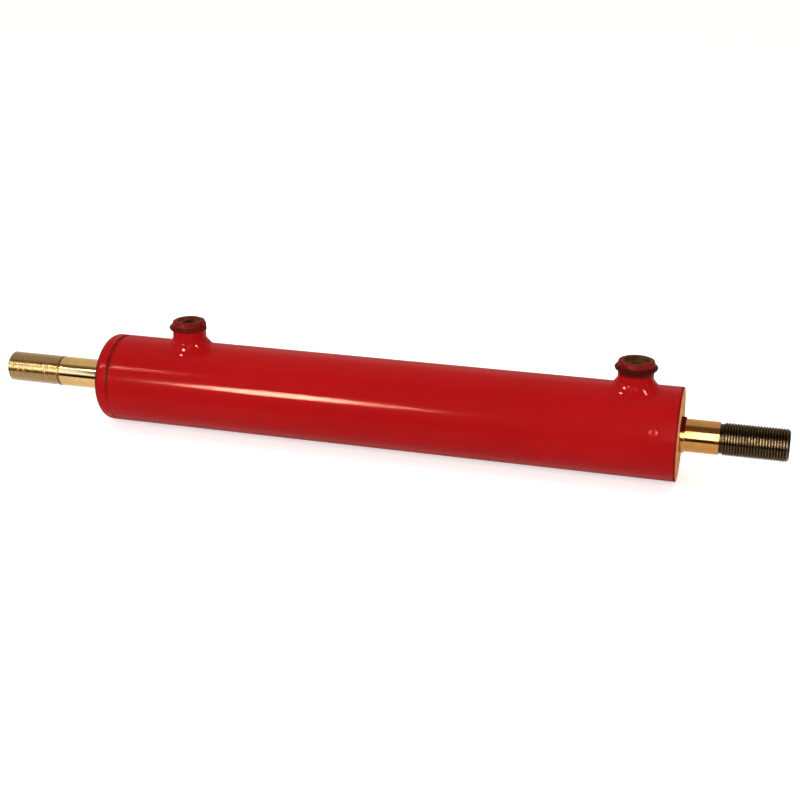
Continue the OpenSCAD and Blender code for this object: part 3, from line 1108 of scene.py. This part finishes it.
@dataclass
class PortWelds:
    """The fillet welds round the port bosses: hollow faces with the lumps and ripples of hand work."""

    cuts: int = 260
    section: int = 48
    leg: float = 5.4 * MM
    leg_drift: float = 0.5 * MM
    leg_pace: float = 0.7
    hollow: float = 0.55
    toe_sink: float = 0.2 * MM
    lumps: float = 3.4
    lump_height: float = 0.5 * MM
    lump_climb: float = 2.2
    dabs: tuple[Dab, ...] = (
        Dab(-84, 0.52, DAB_FRONT),
        Dab(-89, 0.14, DAB_FRONT),
        Dab(-44, 0.6, DAB_FRONT),
        Dab(63, 0.7, DAB_BACK),
        Dab(61, 0.3, DAB_BACK),
        Dab(122, 0.58, DAB_BACK),
        Dab(125, 0.34, DAB_BACK),
    )
    ripples: int = 31
    ripple_height: float = 0.07 * MM
    ripple_bow: float = 1.2
    root: float = 0.9 * MM
    face_from: float = math.radians(-20)
    face_to: float = math.radians(110)
    angle_slack: float = 1e-6
    smooth_deg: float = 60.0

    def __post_init__(self) -> None:
        """Takes the barrel's and a boss's radius from their CAD nodes."""
        self.barrel_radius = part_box("barrel_tube")[1].z
        low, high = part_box(End.LEFT.own("port_boss"))
        self.boss_radius = (high.x - low.x) / 2
        self.centres = {end: middle_x(end.own("port_boss")) for end in End}

    def face_point(self, around: float, share: float) -> tuple[float, float]:
        """One point of the bead's open face.

        Args:
            around: The angle round the boss.
            share: How far up the face it lies, from 0 at the toe to 1 at the boss.

        Returns:
            How far it lies out from the boss's wall and above the barrel.
        """
        place = Vector((math.cos(around), math.sin(around), 0)) * self.lumps
        leg = self.leg + self.leg_drift * noise.noise(place * self.leg_pace)
        bend = share * math.pi / 2
        out = self.hollow * (1 - math.sin(bend)) + (1 - self.hollow) * (1 - share)
        up = self.hollow * (1 - math.cos(bend)) + (1 - self.hollow) * share
        lump = self.lump_height * noise.noise(place + Vector((0, 0, self.lump_climb * share)))
        bow = self.ripple_bow * (2 * share - 1) ** 2
        ripple = self.ripple_height * math.cos(self.ripples * around + bow)
        swell = (lump + ripple) * math.sin(math.pi * share) * math.sqrt(0.5)
        return leg * out + swell, leg * up + swell - self.toe_sink * (1 - share)

    def section_point(self, around: float, section: float) -> tuple[float, float]:
        """One point of the bead's closed section.

        Args:
            around: The angle round the boss.
            section: The angle round the section, 0 outwards and a quarter turn up.

        Returns:
            How far it lies out from the boss's wall and above the barrel.
        """
        share = (section - self.face_from) / (self.face_to - self.face_from)
        if share <= 1:
            return self.face_point(around, share)
        top, toe = self.face_point(around, 1.0), self.face_point(around, 0.0)
        buried = (section - self.face_to) / (FULL_TURN - self.face_to + self.face_from)
        if buried < 0.5:
            return -self.root, top[1] - 2 * buried * (top[1] + self.root)
        return (2 * buried - 1) * (toe[0] + self.root) - self.root, -self.root

    def on_saddle(self, around: float, out: float, up: float) -> Vector:
        """Lays a point of the section on the saddle between boss and barrel.

        Args:
            around: The angle round the boss.
            out: How far it lies out from the boss's wall.
            up: How far it lies above the barrel.

        Returns:
            The point, with the boss on the Z axis.
        """
        reach = self.boss_radius + out
        across = reach * math.sin(around)
        saddle = math.sqrt(self.barrel_radius**2 - across**2)
        return Vector((reach * math.cos(around), across, saddle + up))

    def bead(self) -> Piece:
        """Models one bead and lays it on the saddle between boss and barrel.

        Returns:
            The bead, round the Z axis.
        """
        ring = self.boss_radius + self.leg / 2
        bpy.ops.object.select_all(action="DESELECT")
        bpy.ops.mesh.primitive_torus_add(
            major_segments=self.cuts, minor_segments=self.section,
            major_radius=ring, minor_radius=self.leg / 2,
        )
        bead = settle(End.LEFT.own("weld_bead"))
        feet = []
        for dab in self.dabs:
            around = math.radians(dab.around_deg)
            feet.append(self.on_saddle(around, *self.face_point(around, dab.share)))
        for vertex in bead.data.vertices:
            around = math.atan2(vertex.co.y, vertex.co.x)
            section = math.atan2(vertex.co.z, math.hypot(vertex.co.x, vertex.co.y) - ring)
            if section < self.face_from - self.angle_slack:
                section += FULL_TURN
            place = self.on_saddle(around, *self.section_point(around, section))
            if section < self.face_to:
                for dab, foot in zip(self.dabs, feet):
                    place = dab.swell(place, foot)
            vertex.co = place
        clean(bead, self.smooth_deg)
        return bead

    def build(self) -> None:
        """Models one bead and puts a copy at each port, the second one turned round."""
        bead = self.bead()
        other = copy_of(bead, End.RIGHT.own("weld_bead"))
        other.data.transform(Matrix.Rotation(math.pi, 4, "Z"))
        finish = Enamel("weld_enamel", RED, DEEP_RED, lumps=0.3)
        for piece, end in ((bead, End.LEFT), (other, End.RIGHT)):
            piece.data.transform(Matrix.Translation((self.centres[end], 0, 0)))
            coat(piece, finish)
            seat(piece, Body.BARREL, Slot.PAINT, end.own("port_weld"))


@dataclass(frozen=True)
class PlugForm:
    """One plug's own sizes and colours, and the flat on its flange."""

    ring_radius: float
    flange_radius: float
    crown: float
    recess_depth: float
    flat_faces: Point
    flat_at: float
    plastic: Colour
    stain: Colour
    flange_shade: Colour


@dataclass
class PortPlugs:
    """The shipping plugs in the ports, sprayed over with the barrel."""

    left: PlugForm = PlugForm(
        ring_radius=11.9 * MM, flange_radius=14.2 * MM, crown=2.0 * MM, recess_depth=1.6 * MM,
        flat_faces=(0.898, 0.441, 0), flat_at=12.2 * MM,
        plastic=(0.15, 0.035, 0.016), stain=(0.05, 0.015, 0.006), flange_shade=(0.1, 0.009, 0.006),
    )
    right: PlugForm = PlugForm(
        ring_radius=12.2 * MM, flange_radius=14.3 * MM, crown=1.5 * MM, recess_depth=3.2 * MM,
        flat_faces=(0, 1, 0), flat_at=12.5 * MM,
        plastic=(0.11, 0.05, 0.017), stain=(0.055, 0.024, 0.007), flange_shade=(0.04, 0.005, 0.004),
    )
    sides: int = 128
    flange_height: float = 2.0 * MM
    ring_wall: float = 4.0 * MM
    lip_round: float = 0.8 * MM
    stem_radius: float = 7.0 * MM
    stem_tip_radius: float = 6.4 * MM
    stem_wall: float = 1.6 * MM
    draft: float = 0.25 * MM
    belly: float = 0.6
    crown_share: float = 0.3
    bare_share: float = 0.7
    edge: float = 0.4 * MM
    edge_deg: float = 28.0

    def outline(self, form: PlugForm, low: float, rest: float, top: float) -> list[tuple[float, float]]:
        """A plug's section from the stem's foot round to the bottom of its hollow.

        Args:
            form: The plug's own sizes.
            low: The stem's lowest point.
            rest: Where the flange lies on the boss.
            top: The ring's top.

        Returns:
            Pairs of height and radius.
        """
        ring, flange, crown = form.ring_radius, form.flange_radius, form.crown
        inner = ring - self.ring_wall
        hollow = self.stem_tip_radius - self.stem_wall
        shoulder, floor = rest + self.flange_height, top - form.recess_depth
        draft, slant = self.draft, self.crown_share * crown
        return [
            (low, 0), (low, self.stem_tip_radius), (rest, self.stem_radius), (rest, flange - 2 * draft),
            (rest + self.belly * self.flange_height, flange), (shoulder, flange - 2 * draft),
            (shoulder, ring + draft), (top - crown, ring), (top - slant, ring - slant),
            (top, ring - crown), (top, inner + self.lip_round), (top - self.lip_round, inner),
            (floor, inner - draft), (floor, hollow),
            (low + self.stem_wall, hollow - draft), (low + self.stem_wall, 0),
        ]

    def model(self, end: End, form: PlugForm) -> Piece:
        """Turns a plug, trims its flange flat on one side and rounds its edges.

        Args:
            end: Which port it closes.
            form: Its own sizes.

        Returns:
            The plug in its port.
        """
        low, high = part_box(end.own("port_plug"))
        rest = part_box(end.own("port_boss"))[1].z
        outline = self.outline(form, low.z, rest, high.z)
        plug = turn(end.own("shipping_plug"), outline, Vector((0, 0, 1)), self.sides)
        clean(plug)
        side = Vector(form.flat_faces).normalized()
        with editing(plug):
            bpy.ops.mesh.select_all(action="SELECT")
            bpy.ops.mesh.bisect(
                plane_co=side * form.flat_at, plane_no=side, use_fill=True, clear_outer=True,
            )
        clean(plug)
        finish_with(
            plug, "BEVEL", width=self.edge, segments=3, limit_method="ANGLE",
            angle_limit=math.radians(self.edge_deg),
        )
        clean(plug)
        plug.data.transform(Matrix.Translation((middle_x(end.own("port_plug")), 0, 0)))
        return plug

    def build(self) -> None:
        """Makes a plug for each port and sprays it."""
        bodies = {End.LEFT: Body.LEFT_PLUG, End.RIGHT: Body.RIGHT_PLUG}
        forms = {End.LEFT: self.left, End.RIGHT: self.right}
        for end, form in forms.items():
            plug = self.model(end, form)
            finish = SprayedPlug(
                end.own("plug_plastic"), form.plastic, form.stain, dark=form.flange_shade,
                axis_x=middle_x(end.own("port_plug")),
                recess_radius=form.ring_radius - self.bare_share * self.ring_wall,
                flange_z=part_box(end.own("port_boss"))[1].z + self.flange_height,
            )
            coat(plug, finish)
            seat(plug, bodies[end], Slot.PLUG, end.own("port_plug"))


@dataclass
class LockScrew:
    """The set screw that locks the right gland, with its socket half filled by paint."""

    lean_deg: float = 70.0
    length: float = 7.0 * MM
    radius: float = 2.98 * MM
    rim_radius: float = 2.3 * MM
    dish_radius: float = 1.7 * MM
    dish_depth: float = 0.12 * MM
    rim_round: float = 0.25 * MM
    socket_radius: float = 1.25 * MM
    socket_depth: float = 0.3 * MM
    sides: int = 64
    edge_deg: float = 8.0
    smooth_deg: float = 40.0

    def __post_init__(self) -> None:
        """Takes the screw's place along the barrel from its CAD node."""
        self.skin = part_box("barrel_tube")[1].z
        lean = Matrix.Rotation(math.radians(self.lean_deg), 4, "X")
        self.stand = Matrix.Translation((middle_x("right_gland_lock_screw"), 0, 0)) @ lean

    def model(self) -> Piece:
        """Turns the screw, cuts its hexagon socket and bends its head to the barrel's curve.

        Returns:
            The screw, upright on the barrel's axis.
        """
        floor = self.skin - self.dish_depth
        outline = [
            (self.skin - self.length, 0), (self.skin - self.length, self.radius), (self.skin, self.radius),
            (self.skin, self.rim_radius), (floor, self.dish_radius), (floor, 0),
        ]
        screw = turn("lock_screw", outline, Vector((0, 0, 1)), self.sides)
        clean(screw)
        finish_with(
            screw, "BEVEL", width=self.rim_round, segments=4,
            limit_method="ANGLE", angle_limit=math.radians(self.edge_deg),
        )
        bpy.ops.object.select_all(action="DESELECT")
        bpy.ops.mesh.primitive_cylinder_add(
            vertices=6, radius=self.socket_radius, depth=2 * self.socket_depth, location=(0, 0, floor),
        )
        cut(screw, settle("hexagon_key"))
        for vertex in screw.data.vertices:
            if vertex.co.z > self.skin - MM:
                vertex.co.z -= self.skin - math.sqrt(self.skin**2 - vertex.co.y**2)
        clean(screw, self.smooth_deg)
        return screw

    def build(self) -> None:
        """Models the screw and stands it in its hole."""
        screw = self.model()
        screw.data.transform(self.stand)
        centre = self.stand @ Vector((0, 0, self.skin))
        finish = HighlightedEnamel("screw_enamel", RED, DEEP_RED, centre=tuple(centre))
        coat(screw, finish)
        seat(screw, Body.BARREL, Slot.PAINT, "right_gland_lock_screw")


@dataclass
class Barrel:
    """The painted tube with its holes, and the finishes of what is welded or screwed to it."""

    sides: int = 176
    bore_radius: float = 25.4 * MM
    thread_radius: float = 27.0 * MM
    seam_width: float = 1.2 * MM
    seam_depth: float = 0.26 * MM
    seam_profile: tuple[tuple[float, float], ...] = (
        (0.0, 2.0), (-0.5, 1.1), (0.15, 0.9), (0.55, 0.35), (1.0, 0.0), (1.3, 0.0),
    )
    rim_chamfer: float = 0.4 * MM
    mouth: float = 0.8 * MM
    left_thread: float = 20.0 * MM
    right_thread: float = 18.6 * MM
    step: float = 1.6 * MM
    oil_hole_radius: float = 4.0 * MM
    hole_margin: float = 9.0 * MM
    hole_sides: int = 48
    screw_clear: float = 0.02 * MM
    cap_bore: float = 13.0 * MM

    def __post_init__(self) -> None:
        """Takes the tube's ends and radius from its CAD node."""
        low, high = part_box("barrel_tube")
        self.start, self.stop, self.skin = low.x, high.x, high.z

    def outline(self) -> list[tuple[float, float]]:
        """The tube's closed section, with the paint that has run into the seam at its left end.

        Returns:
            Pairs of place along the axis and radius.
        """
        left, right = self.start + self.left_thread, self.stop - self.right_thread
        seam = [
            (self.start + wide * self.seam_width, self.skin - deep * self.seam_depth)
            for wide, deep in self.seam_profile
        ]
        return [
            (self.start, self.thread_radius), *seam,
            (self.stop - self.rim_chamfer, self.skin),
            (self.stop, self.skin - self.rim_chamfer), (self.stop, self.thread_radius + self.mouth),
            (self.stop - self.mouth, self.thread_radius), (right + self.step, self.thread_radius),
            (right, self.bore_radius), (left, self.bore_radius), (left - self.step, self.thread_radius),
            (self.start, self.thread_radius),
        ]

    def drill(self, tube: Piece, node: str, lean_deg: float, radius: float) -> None:
        """Drills a hole under a fitting, between two cuts that keep the long faces straight.

        Args:
            tube: The tube.
            node: The fitting's CAD node, which gives the place.
            lean_deg: How far the hole leans from +Z towards -Y.
            radius: The hole's radius.
        """
        place = middle_x(node)
        with editing(tube):
            for side in (-1, 1):
                bpy.ops.mesh.select_all(action="SELECT")
                bpy.ops.mesh.bisect(plane_co=(place + side * self.hole_margin, 0, 0), plane_no=(1, 0, 0))
        lean = math.radians(lean_deg)
        out = Vector((place, -math.sin(lean) * self.skin, math.cos(lean) * self.skin))
        bpy.ops.object.select_all(action="DESELECT")
        bpy.ops.mesh.primitive_cylinder_add(
            vertices=self.hole_sides, radius=radius, depth=self.skin, location=out, rotation=(lean, 0, 0),
        )
        cut(tube, settle("drill"))

    def build(self) -> None:
        """Turns and drills the tube, paints it and leaves its end face and bore bare."""
        tube = turn("painted_tube", self.outline(), Vector((1, 0, 0)), self.sides)
        clean(tube)
        for node in pair("port_boss"):
            self.drill(tube, node, 0.0, self.oil_hole_radius)
        screw = LockScrew()
        self.drill(tube, "right_gland_lock_screw", screw.lean_deg, screw.radius + self.screw_clear)
        clean(tube)
        # The rim band at the tube's right end is painted shade.
        paint = Enamel(
            "barrel_enamel", RED, DEEP_RED, seam_x=self.start, rim_x=self.stop, rim_width=2.6 * MM,
        )
        bore = TurnedMetal("honed_bore", (0.4, 0.37, 0.33), (0.33, 0.3, 0.27))
        coat(tube, paint, self.end_film(), bore)
        for face in tube.data.polygons:
            away = math.hypot(face.center.y, face.center.z)
            if face.normal.x > 0.9 or (face.center.x > self.stop - self.mouth and away < self.skin - MM):
                face.material_index = 1
            elif face.center.x > self.start and away < self.skin - MM:
                face.material_index = 2
        seat(tube, Body.BARREL, Slot.PAINT, "barrel_tube")

    def end_film(self) -> Finish:
        """The brown film of preserving oil that has dried on the bare end."""
        return TurnedMetal("oil_filmed_steel", OIL_FILM, DARK_FILM, rough=0.6, metal=0.0, specular=0.0,
                           lines=5000.0)

    def dress(self) -> None:
        """Gives the bosses, glands and wipers their finishes."""
        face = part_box("left_gland")[0].x
        # The gland's rim band is painted shade along its rounded edge.
        cap = Enamel("gland_enamel", RED, DEEP_RED, seam_x=self.start, rim_x=face, rim_width=5.0 * MM,
                     edge=(0.075, 0.002, 0.003), bore_radius=self.cap_bore)
        plain_boss = Enamel("left_boss_enamel", RED, DEEP_RED)
        # The right boss has painted shade on its top, under the plug's flange.
        shaded_boss = Enamel("right_boss_enamel", RED, DEEP_RED, boss_shade_z=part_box("right_port_boss")[1].z)
        lip = WiperLipFinish("wiper_lip", (0.5, 0.24, 0.07), (0.42, 0.19, 0.05), film=OIL_FILM)
        dress(cap, "left_gland")
        dress(plain_boss, "left_port_boss")
        dress(shaded_boss, "right_port_boss")
        dress(self.end_film(), "right_gland")
        dress(lip, *pair("rod_wiper"))


@dataclass
class Internals:
    """Everything that the barrel hides, shown as the CAD nodes."""

    bronze: Finish = TurnedMetal("bushing_bronze", (0.6, 0.33, 0.11), (0.42, 0.22, 0.07), lines=7000.0)
    iron: Finish = TurnedMetal(
        "piston_iron", (0.2, 0.19, 0.18), (0.13, 0.12, 0.11), rough=0.38, lines=4000.0,
    )
    sleeve: Finish = TurnedMetal("stop_tube_steel", (0.42, 0.4, 0.37), (0.33, 0.31, 0.28), rough=0.32)
    spring: Finish = TurnedMetal("ring_spring_steel", (0.24, 0.23, 0.22), (0.12, 0.11, 0.1), rough=0.3)
    nitrile: Finish = Moulded("nitrile", (0.012, 0.012, 0.012), (0.02, 0.019, 0.018), rough=0.5)
    ivory: Finish = Moulded("filled_ptfe", (0.78, 0.74, 0.64), (0.7, 0.65, 0.54), rough=0.36)
    urethane: Finish = Moulded("seal_urethane", (0.16, 0.03, 0.02), (0.11, 0.02, 0.014), rough=0.35)
    wear: Finish = Moulded("wear_ring_phenolic", (0.2, 0.09, 0.035), (0.13, 0.055, 0.02), rough=0.55)

    def dress(self) -> None:
        """Gives each hidden piece the finish of its real material."""
        dress(self.bronze, *pair("rod_bushing"))
        dress(self.iron, "piston")
        dress(self.sleeve, *pair("stop_tube"))
        dress(self.spring, *pair("retaining_ring"))
        dress(self.nitrile, *pair("gland_oring"), "piston_seal_energizer", "piston_rod_oring")
        dress(self.ivory, *pair("gland_backup_ring"), "piston_seal")
        dress(self.urethane, *pair("rod_seal"))
        dress(self.wear, *pair("piston_wear_ring"))


# Studio


@dataclass
class Lamp:
    """One soft lamp that faces along +Y unless it has a target."""

    name: str
    place: Point
    width: float
    height: float
    radiance: float
    reach: Reach = Reach.BOTH
    shape: LampShape = LampShape.RECTANGLE
    target: Point | None = None
    along: Point = (1, 0, 0)
    colour: Colour = WHITE

    def build(self) -> None:
        """Hangs the lamp at its place, its width along the given direction."""
        light = bpy.data.lights.new(self.name, "AREA")
        light.shape = self.shape.name
        light.size, light.size_y = self.width, self.height
        light.energy = self.radiance * math.pi * self.width * self.height * self.shape.value
        light.color = self.colour
        lamp = bpy.data.objects.new(self.name, light)
        bpy.context.scene.collection.objects.link(lamp)
        lamp.visible_camera = False
        lamp.visible_diffuse = self.reach is not Reach.MIRRORED
        lamp.visible_glossy = self.reach is not Reach.LIGHT
        back = Vector((0, -1, 0))
        if self.target:
            back = (Vector(self.place) - Vector(self.target)).normalized()
        side = (Vector(self.along) - back * Vector(self.along).dot(back)).normalized()
        facing = Matrix((side, back.cross(side), back)).transposed().to_4x4()
        lamp.matrix_world = Matrix.Translation(self.place) @ facing


@dataclass
class Studio:
    """The floor, the surrounding light, the lamps and the camera."""

    floor_radius: float = 14.0
    floor_colour: Colour = (0.8, 0.8, 0.8)
    floor_glow: float = 0.58
    horizon: Colour = (0.85, 0.85, 0.85)
    backdrop: Colour = (0.95, 0.88, 0.77)
    backdrop_side: Point = (-0.57, 0.82, 0.0)
    front: Colour = (0.22, 0.19, 0.16)
    card_from: Point = (-1.45, -1.65, 0.0)
    card_to: Point = (0.5, -0.085, 0.0)
    card_lift: float = 0.3 * MM
    card_colour: Colour = (0.02, 0.018, 0.016)
    backdrop_edge: tuple[float, float] = (-0.02, 0.14)
    horizon_edge: tuple[float, float] = (0.12, 0.24)
    lamps: tuple[Lamp, ...] = (
        Lamp("front_box", (-0.2, -2.2, 1.35), 2.6, 1.8, 2.36, Reach.LIGHT, target=(0, 0, 0)),
        Lamp("overhead", (0.1, 0.1, 2.4), 2.4, 1.6, 1.0, Reach.LIGHT, target=(0, 0, 0)),
        Lamp("right_fill", (2.4, -0.6, 0.8), 1.4, 1.2, 2.0, Reach.LIGHT, target=(0.2, 0, 0)),
        Lamp("key_core", (-0.643, -1.5, 0.43), 0.3, 0.32, 150.0, Reach.MIRRORED, LampShape.ELLIPSE),
        Lamp("key", (-0.6655, -1.51, 0.43), 0.337, 0.32, 138.0, Reach.MIRRORED, LampShape.ELLIPSE),
        Lamp("key_glow", (-0.62, -1.52, 0.43), 0.538, 0.28, 77.0, Reach.MIRRORED, LampShape.ELLIPSE),
        Lamp("key_tail", (-0.65, -1.53, 0.43), 0.614, 0.2, 47.0, Reach.MIRRORED, LampShape.ELLIPSE),
        Lamp("end_glint", (-1.223, -1.4, 1.366), 0.05, 0.3, 150.0, Reach.MIRRORED),
        Lamp("end_tail", (-1.158, -1.42, 1.366), 0.18, 0.26, 42.0, Reach.MIRRORED),
        Lamp(
            "right_strip", (0.245, -1.5, 0.83), 0.25, 1.51, 12.5, Reach.MIRRORED,
            colour=(1.0, 0.96, 1.12),
        ),
        Lamp(
            "left_strip", (-1.39, -1.56, 0.867), 1.61, 0.32, 2.15, Reach.MIRRORED, along=(-0.37, 0, 1.506),
            colour=(0.62, 0.86, 1.5),
        ),
    )
    azimuth_deg: float = 16.55
    elevation_deg: float = 20.18
    distance: float = 0.91
    aim: Point = (0.01534, -0.00172, 0.00469)
    lens: float = 58.5
    sensor: float = 36.0

    def lay_floor(self) -> None:
        """Lays the pale floor that the barrel rests on."""
        low, _ = CAD_BOX
        bpy.ops.object.select_all(action="DESELECT")
        bpy.ops.mesh.primitive_circle_add(
            vertices=128, radius=self.floor_radius, fill_type="NGON", location=(0, 0, low.z),
        )
        floor = settle("floor")
        skin = Surface("pale_floor")
        path = skin.node("LightPath").outputs
        seen = skin.most(path["Is Camera Ray"], path["Is Glossy Ray"])
        seen = skin.most(seen, path["Is Transmission Ray"])
        skin.put({
            "Base Color": self.floor_colour, "Roughness": 0.9, "Specular IOR Level": 0.1,
            "Emission Color": WHITE, "Emission Strength": skin.times(seen, self.floor_glow),
        })
        floor.data.materials.append(skin.material)

    def lay_card(self) -> None:
        """Lays a black card in front, unseen by the camera, that draws a dark line in metal."""
        low, _ = CAD_BOX
        middle = (Vector(self.card_from) + Vector(self.card_to)) / 2
        middle.z = low.z + self.card_lift
        bpy.ops.object.select_all(action="DESELECT")
        bpy.ops.mesh.primitive_plane_add(size=1, location=middle)
        bpy.context.active_object.scale = Vector(self.card_to) - Vector(self.card_from)
        card = settle("black_card")
        skin = Surface("black_cloth")
        skin.put({"Base Color": self.card_colour, "Roughness": 1.0, "Specular IOR Level": 0.0})
        card.data.materials.append(skin.material)
        card.visible_camera = False
        card.visible_diffuse = False
        card.visible_shadow = False

    def surround(self) -> None:
        """Makes the surrounding light: a pale horizon, a white backdrop behind and a dim room in front."""
        world = bpy.data.worlds.new("studio")
        bpy.context.scene.world = world
        world.use_nodes = True
        sheet = Sheet(world.node_tree)
        ahead = sheet.node("TexCoord").outputs["Generated"]
        _, _, up = sheet.split(ahead)
        dot = sheet.node("VectorMath", {0: ahead, 1: self.backdrop_side}, operation="DOT_PRODUCT")
        side = dot.outputs["Value"]
        room = sheet.mix(sheet.span(side, *self.backdrop_edge), self.front, self.backdrop)
        colour = sheet.mix(sheet.span(up, *self.horizon_edge), self.horizon, room)
        background = world.node_tree.nodes["Background"]
        sheet.feed(background.inputs["Color"], colour)
        background.inputs["Strength"].default_value = 1.0

    def place_camera(self) -> None:
        """Stands the camera where the photograph was taken from."""
        turn_by, rise = math.radians(self.azimuth_deg), math.radians(self.elevation_deg)
        level = Vector((math.sin(turn_by), -math.cos(turn_by), 0)) * math.cos(rise)
        back = level + Vector((0, 0, math.sin(rise)))
        data = bpy.data.cameras.new("camera")
        data.lens, data.sensor_width = self.lens, self.sensor
        camera = bpy.data.objects.new("camera", data)
        bpy.context.scene.collection.objects.link(camera)
        camera.location = Vector(self.aim) + back * self.distance
        camera.rotation_euler = (-back).to_track_quat("-Z", "Y").to_euler()
        bpy.context.scene.camera = camera

    def build(self) -> None:
        """Sets up the whole studio."""
        bpy.context.scene.view_settings.view_transform = "Standard"
        self.place_camera()
        self.lay_floor()
        self.lay_card()
        self.surround()
        for lamp in self.lamps:
            lamp.build()


def main() -> None:
    """Builds the pieces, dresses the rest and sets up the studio."""
    logging.basicConfig(level=logging.INFO, format="%(message)s")
    bpy.ops.object.select_all(action="DESELECT")
    Studio().build()
    ThroughRod().build()
    PortWelds().build()
    PortPlugs().build()
    LockScrew().build()
    barrel = Barrel()
    barrel.build()
    barrel.dress()
    Internals().dress()


if __name__ == "__main__":
    main()
